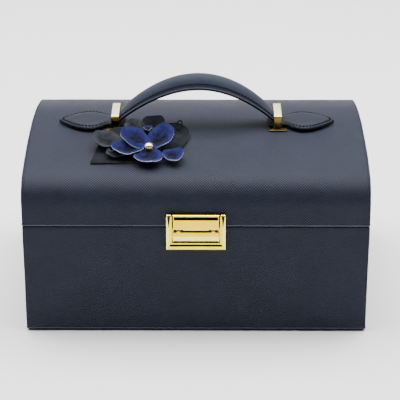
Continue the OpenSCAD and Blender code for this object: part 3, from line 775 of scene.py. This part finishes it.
def knuckle(shape, x, half_length, toward, slot=0):
    """Hinge knuckle and its lug, which reaches up into its plate, or down where toward is negative."""
    y = PLATE_FRONT + PLATE_T / 2
    shape.tube([(x - half_length, y, FLAP_HINGE_Z), (x + half_length, y, FLAP_HINGE_Z)], KNUCKLE_R, 14, slot)
    z0, z1 = sorted((FLAP_HINGE_Z, FLAP_HINGE_Z + toward))
    low = (x - half_length, PLATE_FRONT + 0.15, z0)
    shape.box(low, (x + half_length, PLATE_FRONT + PLATE_T - 0.15, z1), 0.08, slot=slot)


def hasp():
    """Upper plate with a satin field and a long sloped recess below its top rim; the rim's front carries a
    painted highlight, and the recess, a strip showing above the plate and the knuckles a painted shade.
    """
    high = box_mm("hasp_plate")[1]
    half, front = high.x, PLATE_FRONT
    top, edge = high.z, FLAP_HINGE_Z + 0.75
    rear = front + PLATE_T
    slot_low, slot_high, slot_half = top - 4.3, top - 1.3, half - 0.85

    def rectangle(half_x, z0, z1, y, y_top=None):
        y_top = y if y_top is None else y_top
        return [(-half_x, y, z0), (half_x, y, z0), (half_x, y_top, z1), (-half_x, y_top, z1)]

    rim = [
        rectangle(half - 0.15, edge + 0.15, top - 0.15, rear),
        rectangle(half, edge, top, rear - 0.15),
        rectangle(half, edge, top, front + 0.75),
        rectangle(half - 0.1, edge + 0.12, top - 0.1, front + 0.55),
        rectangle(half - 0.6, edge + 1.25, top - 0.55, front + 0.05),
        rectangle(half - 0.75, edge + 1.45, top - 0.7, front),
    ]
    mouth = rectangle(slot_half, slot_low, slot_high, front)
    floor = rectangle(slot_half - 0.05, slot_low + 0.15, slot_high - 0.05, front + 0.1, front + 1.0)
    shape = Shape()
    rim_highlight_rows = (3, 4)
    shape.loft(rim, caps=(True, False), slot=lambda i, j: 3 if i in rim_highlight_rows else 0)
    shape.loft([rim[-1], mouth], slot=1)
    # The recess's walls and floor are darkened with painted shade.
    shape.loft([mouth, floor], caps=(False, True), slot=2)
    shape.box((-half + 0.5, rear - 0.1, LID_Z + 1.2), (half - 0.5, -HALF_D, top - 0.4), 0.25)
    # A strip behind the plate that shows above its top, darkened with painted shade.
    shape.box((-half - 0.4, -HALF_D - 0.7, top - 0.8), (half + 0.4, -HALF_D, top + 0.9), 0.25, slot=2)
    # The knuckles are darkened with painted shade.
    for x in (-KNUCKLE_X, KNUCKLE_X):
        for side in (-1, 1):
            knuckle(shape, x + side * 2.65, 0.95, KNUCKLE_LUG, 2)
    finishes = [GOLD, GOLD_SATIN, GOLD_PAINTED_DEEP_SHADE, GOLD_PAINTED_HIGHLIGHT]
    shape.piece("hasp_face", finishes, "lid", ["hasp_plate"], "gold_metal", smooth=22)


def flap():
    """Lower plate that hangs from the hasp: satin above its fold, and pale gold below it, a painted
    highlight.
    """
    low, high = box_mm("clasp_flap")
    half, front, foot = high.x, PLATE_FRONT, low.z
    top, rear = FLAP_HINGE_Z - 0.75, front + PLATE_T
    fold = foot + 0.56 * (top - foot)
    shape = Shape()

    def outline(inset, push):
        upper, lower, face = top - inset, foot + inset, front + push
        return [(rear, upper), (face + 0.3, upper), (face + 0.1, upper - 0.5), (face, fold),
                (face + 0.12, lower + 0.9), (face + 0.5, lower), (rear, lower)]

    stations = [(-half, 0.1, 0.4), (-half + 0.15, 0.0, 0.25), (-half + 0.7, 0.0, 0.0)]
    stations += [(-x, inset, push) for x, inset, push in reversed(stations)]
    rings = [[(x, y, z) for y, z in outline(inset, push)] for x, inset, push in stations]
    # Satin on the top bevel and above the fold; pale gold, a painted highlight, below the fold.
    slots = {1: 1, 2: 1, 3: 2}
    shape.loft(rings, caps=(True, True), slot=lambda i, j: slots.get(j, 0))
    for x in (-KNUCKLE_X, KNUCKLE_X):
        knuckle(shape, x, 1.4, -KNUCKLE_LUG)
    # The lip behind the flap that snaps under the catch bar.
    lip_z, lip_half = 84.9, 7
    shape.box((-lip_half, rear - 0.1, lip_z - 0.8), (lip_half, rear + 0.7, lip_z), 0.15)
    finishes = [GOLD, GOLD_SATIN, GOLD_PAINTED_HIGHLIGHT]
    shape.piece("flap_face", finishes, "clasp_flap", ["clasp_flap"], "gold_metal", smooth=15)


# --- handle


def loops():
    """Rectangular staples over the strap, each on a plate with a rolled edge; the staples' tops carry a
    painted highlight, their front legs a painted dark reflection, and the plates a painted shade.
    """
    plate_low, plate_high = box_mm("loop_plates")
    loop_high = box_mm("handle_loops")[1]
    base, top = plate_high.z, loop_high.z
    half_x, half_y, wall = 3.3, loop_high.y, 1.4
    # Chamfer of a staple's long edges.
    soft = 0.3
    base_half = 7.5

    def bend(half, z_top, radius):
        points = [(-half, base - 0.2)]
        for cy, start in ((-half + radius, 180), (half - radius, 90)):
            for k in range(5):
                a = radians(start - 22.5 * k)
                points.append((cy + radius * cos(a), z_top - radius + radius * sin(a)))
        return points + [(half, base - 0.2)]

    outer, inside = bend(half_y, top, 1.3), bend(half_y - wall, top - wall, 0.5)
    outer_face, front_leg = 1, 0
    over_strap = range(5, len(outer) - 6)

    # Slot 1, a painted highlight, on the top over the strap; slot 2, a painted dark reflection, on the front
    # leg.
    def finish(i, j):
        if j != outer_face:
            return 0
        return 1 if i in over_strap else 2 if i == front_leg else 0

    shape, plates = Shape(), Shape()
    for x in (-LOOP_X, LOOP_X):
        rings = []
        for (yo, zo), (yi, zi) in zip(outer, inside):
            out, inn = Vector((0, yo, zo)), Vector((0, yi, zi))
            way = (inn - out).normalized()
            near_out, near_in, edge = out + way * soft, inn - way * soft, half_x - soft
            rows = [(-half_x, near_out), (-edge, out), (edge, out), (half_x, near_out),
                    (half_x, near_in), (edge, inn), (-edge, inn), (-half_x, near_in)]
            rings.append([(x + dx, p.y, p.z) for dx, p in rows])
        shape.loft(rings, caps=(True, True), slot=finish)
        plates.box((x - base_half, plate_low.y, base - 1.25), (x + base_half, plate_high.y, base), 0.4)
        for y in (-half_y - 1.0, half_y + 1.0):
            plates.tube([(x + dx, y, base - 0.1) for dx in (0.3 - base_half, base_half - 0.3)], 0.75, 12)
    finishes = [GOLD, GOLD_BRUSHED_PAINTED_HIGHLIGHT, GOLD_PAINTED_SHADE]
    shape.piece("loop_staples", finishes, "lid", ["handle_loops"], "gold_metal", smooth=30)
    plates.piece("loop_bases", GOLD_PAINTED_SHADE, "lid", ["loop_plates"], "gold_metal", smooth=30)


ARCH_HALF = LOOP_X - 2
ARCH_H = 30.3
# Height of the strap's underside at the staples.
STRAP_Z = 148.2
STRAP_HALF = 10.6
GRIP_HALF = 12.0
# How far the top of the arch leans to the right.
GRIP_LEAN = 1.8
# Width of the flat flange beside the padding, and how far out on the padding the stitches run.
FLANGE = 3.0
SEWN_AT = 0.9


def arch_height(x):
    """Height of the underside of the handle at x."""
    lift = max(0.0, cos(pi / 2 * min(1.0, abs(x) / ARCH_HALF)))
    return STRAP_Z + ARCH_H * lift**0.85


def grip_line():
    """Stations along the handle: (point, tangent, fraction of full thickness)."""
    count = 26
    xs = [LOOP_X + 3, LOOP_X + 1, LOOP_X - 1]
    xs += [ARCH_HALF * cos(pi / 2 * (k / count) ** 1.25) for k in range(1, count)]
    xs = xs + [0.0] + [-x for x in reversed(xs)]
    points = [Vector((x + GRIP_LEAN * (arch_height(x) - STRAP_Z) / ARCH_H, 0, arch_height(x))) for x in xs]
    stations = []
    for i, p in enumerate(points):
        along = (points[min(i + 1, len(points) - 1)] - points[max(i - 1, 0)]).normalized()
        fat = max(0.0, cos(pi / 2 * min(1.0, abs(p.x) / ARCH_HALF))) ** 0.75
        stations.append((p, along, fat))
    return stations


def pad_height(pad, s):
    """Height of the padding at a fraction s of its half width."""
    return pad * max(0.0, 1 - abs(s) ** 2.4) ** 0.9


def handle_grip():
    """Padded grip: a crowned middle, sewn near its edges, between two flat flanges."""
    shape, thread = Shape(), Shape()
    rings, rows = [], {-1: [], 1: []}
    line = grip_line()
    lengths = path_lengths([p for p, _, _ in line])
    for p, along, fat in line:
        up = Vector((0, 1, 0)).cross(along)
        if up.z < 0:
            up = -up
        half = STRAP_HALF + (GRIP_HALF - STRAP_HALF) * fat
        crowned = half - FLANGE
        # Thickness of the flange, and of the padding over it.
        edge = 1.7 + 0.3 * fat
        pad = 1.6 + 7.2 * fat
        section = [(-half, 0.35), (-half, edge - 0.5), (-half + 0.35, edge - 0.08), (-half + 0.8, edge),
                   (-crowned - 1.0, edge - 0.05), (-crowned - 0.3, edge - 0.3)]
        section += [(crowned * k / 11, edge + pad_height(pad, k / 11)) for k in range(-11, 12)]
        section += [(-y, h) for y, h in reversed(section[:6])]
        section += [(half - 0.4, 0.0)]
        section += [(half * f, -0.8 * fat * (1 - f * f)) for f in (0.6, 0.3, 0.0, -0.3, -0.6)]
        section += [(-half + 0.4, 0.0)]
        rings.append([p + Vector((0, y, 0)) + up * h for y, h in section])
        for side in (-1, 1):
            sewn = p + Vector((0, side * crowned * SEWN_AT, 0)) + up * (edge + pad_height(pad, SEWN_AT))
            rows[side].append((sewn, Vector((0, side, 0.6))))
    count = len(rings[0])
    # The strips at both sides carry edge paint.
    painted = (0, 1, count - 9, count - 8, count - 7, count - 1)
    shape.loft(rings, caps=(True, True), uvs=lambda i, j: (lengths[i], (j % count) * 1.05),
               slot=lambda i, j: 1 if j in painted else 0)
    grip = shape.piece("handle_grip", [GRIP, EDGE_PAINT], "lid", ["handle_strap", "handle_padding"],
                       "strap_leather", smooth=60)
    for side in (-1, 1):
        thread.stitches(rows[side][4:-4], 0.15, 1.9, 2.8, 0.5)
    sewn = thread.piece("handle_stitches", THREAD, "lid", (), "strap_leather")
    for made in (grip, sewn):
        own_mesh(made)


LEAF_HALF = 19.0
# The leaf sits a little forward of the strap.
LEAF_SHIFT = -1.0
# The leaf runs on through the staple as a tongue, to this distance from the middle.
TONGUE_X = 60
TONGUE_HALF = 10.9
# Distance of the stitches from the leaf's edge, and the half width below which there are none.
SEWN_DEPTH = 2.9
SEWN_FROM = 4.2


def leaf_half_width(t):
    """Half width of the strap end at a fraction t of its length, ending in a blunt point."""
    body = LEAF_HALF * max(0.0, sin(pi * min(1.0, t) ** 0.76)) ** 0.82
    return max(TONGUE_HALF, body) if t < 0.3 else body


def leaf_height(distance):
    """Height of the strap end over its underside at a distance from its edge."""
    rim = [(0.0, 1.6), (0.25, 2.5), (0.8, 3.05), (1.5, 3.2)]
    groove = [(2.2, 2.9), (SEWN_DEPTH, 2.3), (3.6, 3.0)]
    marks = rim + groove + [(5.0, 3.9), (8.0, 4.6), (12.0, 5.0), (25.0, 5.1)]
    for (d0, h0), (d1, h1) in zip(marks, marks[1:]):
        if distance <= d1:
            f = (distance - d0) / (d1 - d0)
            return h0 + (h1 - h0) * f
    return marks[-1][1]


def strap_end(side):
    """Leaf-shaped end of the strap: crowned, edge painted, sewn along its border."""
    name = "left" if side < 0 else "right"
    low, high = box_mm("strap_end_" + name)
    start = LOOP_X + 4.0
    tip = high.x if side > 0 else -low.x
    foot = low.z
    length = tip - start
    shape, thread = Shape(), Shape()
    rings, seam = [], []
    count, across = 40, 30
    for i in range(count + 1):
        t = sin(pi / 2 * i / count)
        x = start + length * t
        half = max(0.3, leaf_half_width(t))
        shift = LEAF_SHIFT * min(1.0, 3 * t)
        ring = []
        for k in range(across + 1):
            y = half * sin(pi / 2 * (2 * k / across - 1))
            distance = min(half - abs(y), 0.85 * (tip - x))
            sag = (y / LEAF_HALF) ** 2 * 0.45
            crease = 0.12 * noise.noise(Vector((x * 0.12, y * 0.12, side)))
            ring.append((side * x, y + shift, foot + leaf_height(distance) - sag + crease))
        ring += [(side * x, y + shift, foot) for y in (0.985 * half, -0.985 * half)]
        rings.append(ring)
        if half > SEWN_FROM:
            seam.append((side * x, half - SEWN_DEPTH))
    painted = (across, across + 1, across + 2)
    shape.loft(rings, caps=(True, True), uvs=lambda i, j: (rings[i][j][0], rings[i][j][1]),
               slot=lambda i, j: 1 if j in painted else 0)
    x0, x1 = sorted((side * TONGUE_X, side * (start + 1)))
    shape.box((x0, -TONGUE_HALF, foot), (x1, TONGUE_HALF, foot + 2), 0.6)
    body = "strap_end_" + name
    end = shape.piece("strap_leaf_" + name, [STRAP, EDGE_PAINT], body, [body], "strap_leather", smooth=50)
    up = Vector((0, 0, 1))
    border = seam + [(x, -y) for x, y in reversed(seam)]
    border = [(Vector((x, y + LEAF_SHIFT, foot + 3.05)), up) for x, y in border]
    thread.stitches(border, 0.0, 2.0, 2.9, 0.6)
    thread.piece("strap_stitches_" + name, THREAD, body, (), "strap_leather")


# --- flower

# The bead's place on the lid, its radius, half its height and the lift of its middle.
BEAD = (-38.5, -58.0)
BEAD_R = 3.7
BEAD_HALF_H = 2.9
BEAD_LIFT = 9.0


def petal(turn, reach, size, lift, rise, cup, seed, egg=0.26, centre=BEAD):
    """Cupped petal whose middle lies at a reach from the bead: rise lifts its far end, cup lifts its rim."""
    a = radians(turn)
    half_l, half_w = size[0] / 2, size[1] / 2

    def surface(rho, phi):
        wobble = 1 + 0.07 * noise.noise(Vector((cos(phi), sin(phi), seed)) * 0.9)
        u = rho * half_l * cos(phi) * wobble
        v = rho * half_w * sin(phi) * wobble * (1 + egg * rho * cos(phi))
        x = centre[0] + (reach + u) * cos(a) - v * sin(a)
        y = centre[1] + (reach + u) * sin(a) + v * cos(a)
        height = lift + rise * u / half_l + cup * rho**2.6 * (1 + 0.25 * sin(2 * phi + seed))
        height += 0.45 * rho**4 * sin(5 * phi + 3 * seed) + 0.3 * noise.noise(Vector((x, y, seed)) * 0.2)
        return on_lid(x, y, max(1.2, height))

    return surface


def blue_petals():
    shape = Shape()
    # Turn, reach, (length, width), lift, rise, cup, seed of each petal, the lowest first.
    for turn, reach, size, lift, rise, cup, seed in (
        (-19, 20.5, (18, 17), 4.4, 0.6, 2.2, 0.4),
        (182, 16.8, (27, 17.5), 5.8, 0.8, 3.6, 1.2),
        (-92, 8.4, (20, 23), 6.0, -0.6, 1.8, 2.1),
        (133, 15.6, (28, 20.5), 6.8, 3.4, 3.8, 0.3),
        (58, 15.0, (28, 20.5), 7.0, 3.8, 3.6, 1.9),
        (0, 0.0, (13, 11), 6.9, 0.0, -0.8, 5.3),
        (176, 30.0, (6, 6), 4.6, 0.2, 0.8, 3.1),
        (93, 31.0, (5.5, 7), 7.6, 0.6, 0.8, 4.2),
    ):
        shape.sheet(petal(turn, reach, size, lift, rise, cup, seed), 10, 44, 0.6)
    finishes = [BLUE_SUEDE, PALE_EDGE]
    shape.piece("flower_blue", finishes, "lid", ["flower_blue_petals"], "blue_suede", smooth=50)


def black_petals():
    shape = Shape()
    # Middle (x, y), turn, (length, width), lift, rise, cup and finish of each petal; finish 0 is black suede
    # painted lighter as if lit, a painted light, and finish 2 is plain black.
    for seed, (middle, turn, size, lift, rise, cup, finish) in enumerate((
        ((-73, -45), 150, (25, 22), 5.6, 1.6, 3.2, 0),
        ((-64, -60), 190, (18, 13), 3.4, 0.4, 1.8, 0),
        ((-51.5, -26), 110, (17, 16), 6.4, 2.4, 2.6, 0),
        ((-36, -22), 85, (19, 19), 7.2, 3.0, 2.8, 2),
        ((-25.5, -22), 70, (8, 8), 5.4, 0.8, 1.2, 2),
    )):
        shape.sheet(petal(turn, 0, size, lift, rise, cup, 0.7 + seed, 0.15, middle), 9, 40, 0.6, finish)
    finishes = [BLACK_PETAL_PAINTED_LIGHT, DARK_EDGE, BLACK_PETAL]
    shape.piece("flower_black", finishes, "lid", ["flower_black_petals"], "black_suede", smooth=50)


def backing_leaf():
    """Large dark leaf under the petals: glued near its front edge, lifting towards the back."""
    outline = [(-85.5, -70), (-82, -70.5), (-60, -70), (-38, -68), (-24, -62), (-13, -50),
               (-7, -36), (-6, -24), (-10, -14), (-17, -9), (-30, -12), (-46, -15),
               (-58, -20), (-70, -26), (-79, -42), (-84.5, -64)]
    centre = Vector((-44, -42))
    count = 60
    points = []
    # A smooth curve (Catmull-Rom) through the outline.
    for k in range(count):
        s = k * len(outline) / count
        i, f = int(s), s - int(s)
        p = [Vector(outline[(i + d) % len(outline)]) for d in (-1, 0, 1, 2)]
        points.append(0.5 * ((2 * p[1]) + (p[2] - p[0]) * f + (2 * p[0] - 5 * p[1] + 4 * p[2] - p[3]) * f * f
                             + (3 * p[1] - p[0] - 3 * p[2] + p[3]) * f**3))

    def surface(rho, phi):
        i = round(phi / (2 * pi) * count) % count
        p = centre.lerp(points[i], rho)
        back = max(0.0, (p.y + 62) / 50)
        beside_loop = max(0.0, (-46 - p.x) / 20) * max(0.0, (p.y + 52) / 30)
        wave = 0.4 * noise.noise(Vector((p.x, p.y, 2)) * 0.06)
        return on_lid(p.x, p.y, 1.3 + 2.6 * back**1.6 * rho + 4.0 * beside_loop + wave)

    shape = Shape()
    shape.sheet(surface, 14, count, 0.9)
    shape.piece("flower_backing", [BLACK_SUEDE, DARK_EDGE], "lid", ["flower_leaf"], "black_suede", smooth=50)


def round_bead(radius, lift, count):
    """Ring of points about the bead's axis."""
    return [on_lid(BEAD[0] + radius * cos(a), BEAD[1] + radius * sin(a), lift) for a in round_angles(count)]


def flower_trim():
    """Bead on its seat, and the small thread loop at the leaf's far corner."""
    seat = Shape()
    # The seat is dark bronze gold: painted shade at the bead's foot.
    seat.tube(round_bead(3.5, 7.3, 40), 0.5, 8, closed=True)
    seat.tube([on_lid(*BEAD, 1.5), on_lid(*BEAD, 8.0)], 0.8, 12)
    seat.piece("bead_seat", GOLD_PAINTED_SHADE, "lid", ["flower_pin"], "gold_metal")
    bead = Shape()
    slopes = [pi * i / 16 for i in range(1, 16)]
    rings = [round_bead(BEAD_R * sin(a), BEAD_LIFT + BEAD_HALF_H * cos(a), 32) for a in slopes]
    bead.loft(rings, caps=(True, True))
    bead.piece("bead", PEARL, "lid", ["flower_bead"], "gold_bead", smooth=60)
    thread = Shape()
    loop = [on_lid(-14.5 + 2.3 * cos(a) + 0.8 * sin(a), -18 + 6.5 * sin(a), 6.0 + 1.2 * sin(a))
            for a in round_angles(28)]
    thread.tube(loop, 0.55, 8, closed=True)
    thread.piece("flower_thread", THREAD, "lid", (), "black_suede")


# --- inside

DIVIDER_T = 2.5


def velvet_boxes(name, body, node, boxes, radius):
    """Velvet-covered card panels with rounded edges, in place of a CAD node."""
    shape = Shape()
    for low, high in boxes:
        shape.box(low, high, min(radius, 0.45 * min(h - l for l, h in zip(low, high))), 4)
    shape.piece(name, VELVET, body, [node], "velvet")


def four_walls(low, high, wall):
    """Boxes for the front, rear, left and right of a frame."""
    y0, y1 = low.y + wall, high.y - wall
    boxes = [((low.x, y, low.z), (high.x, y + wall, high.z)) for y in (low.y, y1)]
    return boxes + [((x, y0, low.z), (x + wall, y1, high.z)) for x in (low.x, high.x - wall)]


def lining_panels():
    boxes = four_walls(*box_mm("case_lining"), 2.4)
    velvet_boxes("case_lining_velvet", "case", "case_lining", boxes, 0.9)


def lower_dividers():
    boxes = [box_mm("lower_divider_cross")]
    velvet_boxes("lower_divider_velvet", "case", "lower_divider_cross", boxes, 1.1)
    low, high = box_mm("lower_dividers_long")
    boxes = [((x, low.y, low.z), (x + DIVIDER_T, high.y, high.z)) for x in (low.x, high.x - DIVIDER_T)]
    velvet_boxes("lower_dividers_velvet", "case", "lower_dividers_long", boxes, 1.1)


def soft_pad(name, material, body, node, crown, radius):
    """A flat pad whose top swells between its edges."""
    low, high = box_mm(node)
    part = rounded_block(low, high, radius)
    size = high - low
    for axis in (X, Y):
        slice_up(part, axis, steps(low[axis] + 3, high[axis] - 3, 9))
    for v in part.verts:
        if v.co.z > (low.z + high.z) / 2:
            swell = 1.0
            for axis in (X, Y):
                near = min(v.co[axis] - low[axis], high[axis] - v.co[axis]) / (size[axis] / 2)
                swell *= min(1.0, 2.4 * near)
            v.co.z += crown * (swell - 1) + 0.12 * noise.noise(v.co * 0.06)
    shape = Shape()
    shape.absorb(part)
    shape.piece(name, material, body, [node], "velvet")


def watch_pillows():
    """Two oblong cushions with gathered ends and a rounded square section."""
    low, high = box_mm("watch_pillows")
    width, squareness, taper, stations = 60.0, 0.62, 0.22, 18
    shape, piping = Shape(), Shape()
    for x0 in (low.x, high.x - width):
        middle_y, middle_z = (low.y + high.y) / 2, (low.z + high.z) / 2
        half_y, half_z = (high.y - low.y) / 2, (high.z - low.z) / 2
        rings = []
        for i in range(stations + 1):
            t = i / stations
            swell = 1 - taper * abs(2 * t - 1) ** 5
            ring = []
            for a in round_angles(40):
                c, s = cos(a), sin(a)
                y = half_y * copysign(abs(c) ** squareness, c) * swell
                z = half_z * copysign(abs(s) ** squareness, s) * swell
                ring.append((x0 + width * t, middle_y + y, middle_z + z))
            rings.append(ring)
        shape.loft(rings, caps=(True, True))
        for ring in (rings[1], rings[-2]):
            piping.tube(ring, 0.7, 8, closed=True)
    pillows = shape.piece("watch_pillows_velvet", VELVET_SOFT, "case", ["watch_pillows"], "velvet_roll",
                          smooth=60)
    piping.piece("watch_pillow_piping", NAVY, "case", (), "navy_leather")


def tray_walls():
    velvet_boxes("tray_walls_velvet", "tray", "tray_walls", four_walls(*box_mm("tray_walls"), 3.0), 1.3)
    split_low, split_high = box_mm("tray_divider_long")
    velvet_boxes("tray_divider_velvet", "tray", "tray_divider_long", [(split_low, split_high)], 1.1)
    low, high = box_mm("tray_dividers_cross")
    half = DIVIDER_T / 2
    boxes = [((x - half, split_high.y, low.z), (x + half, high.y, high.z)) for x in (-42, 42)]
    boxes += [((x - half, low.y, low.z), (x + half, split_low.y, high.z)) for x in (-84, 84)]
    velvet_boxes("tray_cross_velvet", "tray", "tray_dividers_cross", boxes, 1.1)


def ring_rolls():
    """Row of foam rolls under velvet, with slots between them for rings."""
    low, high = box_mm("ring_rolls")
    count, gap, stations, arc_steps = 7, 1.6, 36, 16
    pitch = (high.y - low.y + gap) / count
    shape = Shape()
    for i in range(count):
        y0 = low.y + pitch * i
        y1 = y0 + pitch - gap
        radius = (y1 - y0) / 2
        middle = (y0 + y1) / 2
        rings = []
        for j in range(stations + 1):
            t = j / stations
            pinch = 1 - 0.16 * abs(2 * t - 1) ** 14
            droop = 0.25 * noise.noise(Vector((t * 6, i * 3.1, 0)))
            ring = [(middle - radius * pinch, low.z)]
            for k in range(arc_steps + 1):
                a = pi - pi * k / arc_steps
                ring.append((middle + radius * pinch * cos(a),
                             high.z - radius - 0.3 + radius * sin(a) * pinch + droop * sin(a)))
            ring.append((middle + radius * pinch, low.z))
            rings.append([(low.x + (high.x - low.x) * t, y, z) for y, z in ring])
        shape.loft(rings, caps=(True, True))
    rolls = shape.piece("ring_rolls_velvet", VELVET_SOFT, "tray", ["ring_rolls"], "velvet_roll", smooth=60)


def pull_tab():
    low, high = box_mm("tray_tab")
    shape = Shape()
    shape.box(low, high, 0.35)
    shape.piece("tray_pull", NAVY, "tray", ["tray_tab"], "navy_leather")
    thread = Shape()
    path = [(Vector((x, low.y, high.z - 2)), Vector((0, -1, 0))) for x in steps(low.x + 1.5, high.x - 1.5, 2)]
    thread.stitches(path, 0.05, radius=0.25)
    thread.piece("tray_pull_stitches", THREAD, "tray", (), "strap_leather")


def lid_inside():
    """Domed velvet lining with a turned rim."""
    low, high = box_mm("lid_lining")
    shape = Shape()
    profile = dome_profile(LINING_INSET, low.z)
    outer = dome_profile(BOARD_INSET, low.z)
    xs = steps(-LINING_HALF_W, LINING_HALF_W, 12)
    rings = [[(x, y, z) for y, z in profile] for x in xs]
    shape.loft(rings, closed=False, caps=(True, True))
    front_in, front_out = profile[0][0], outer[0][0]
    x_in, x_out = LINING_HALF_W, high.x
    for x0, x1, y0, y1 in ((-x_out, x_out, front_out, front_in), (-x_out, x_out, -front_in, -front_out),
                           (-x_out, -x_in, front_in, -front_in), (x_in, x_out, front_in, -front_in)):
        shape.box((x0, y0, low.z - 0.2), (x1, y1, low.z + 1.8), 0.6)
    shape.piece("lid_lining_velvet", VELVET, "lid", ["lid_lining"], "velvet", smooth=40)


def mirror_border():
    boxes = four_walls(*box_mm("mirror_frame"), 7.0)
    velvet_boxes("mirror_frame_velvet", "lid", "mirror_frame", boxes, 1.4)


# --- finishes of the CAD nodes that stay

FINISHES = {
    "black_sheet": BLACK_BASE, "board": BOARD, "navy_leather": NAVY, "strap_leather": STRAP,
    "velvet": VELVET, "velvet_roll": VELVET_SOFT, "black_suede": BLACK_SUEDE, "blue_suede": BLUE_SUEDE,
    "gold_metal": GOLD, "gold_bead": PEARL, "mirror": MIRROR,
}
# Nodes whose visible edges look different from their material's finish; the clasp pin is near-black gold, a
# painted shade.
NODE_FINISHES = {
    "tray_board": VELVET, "lid_left_cheek": VELVET, "lid_right_cheek": VELVET, "clasp_pin": GOLD_PAINTED_DEEP_SHADE,
}


def finish_cad_nodes():
    slots = {entry["node"]: entry["material_slot"] for entry in frame["record"]["subparts"]}
    for name, node in frame["nodes"].items():
        finish = NODE_FINISHES.get(name, FINISHES[slots[name]])
        if not node.material_slots:
            node.data.materials.append(finish)
        for slot in node.material_slots:
            slot.material = finish


add_camera()
add_studio()
add_floor(pale_floor())
leather_case()
leather_lid()
hem("case_hem", "case", CASE_LOW.z + 0.2)
hem("lid_hem", "lid", LID_Z)
clasp_border()
hasp()
flap()
loops()
handle_grip()
strap_end(-1)
strap_end(1)
backing_leaf()
black_petals()
blue_petals()
flower_trim()
lining_panels()
lower_dividers()
soft_pad("floor_pad_velvet", VELVET, "case", "floor_pad", 0.5, 1.2)
soft_pad("tray_pad_velvet", VELVET_SOFT, "tray", "tray_floor_pad", 0.3, 0.6)
watch_pillows()
tray_walls()
ring_rolls()
pull_tab()
lid_inside()
mirror_border()
finish_cad_nodes()
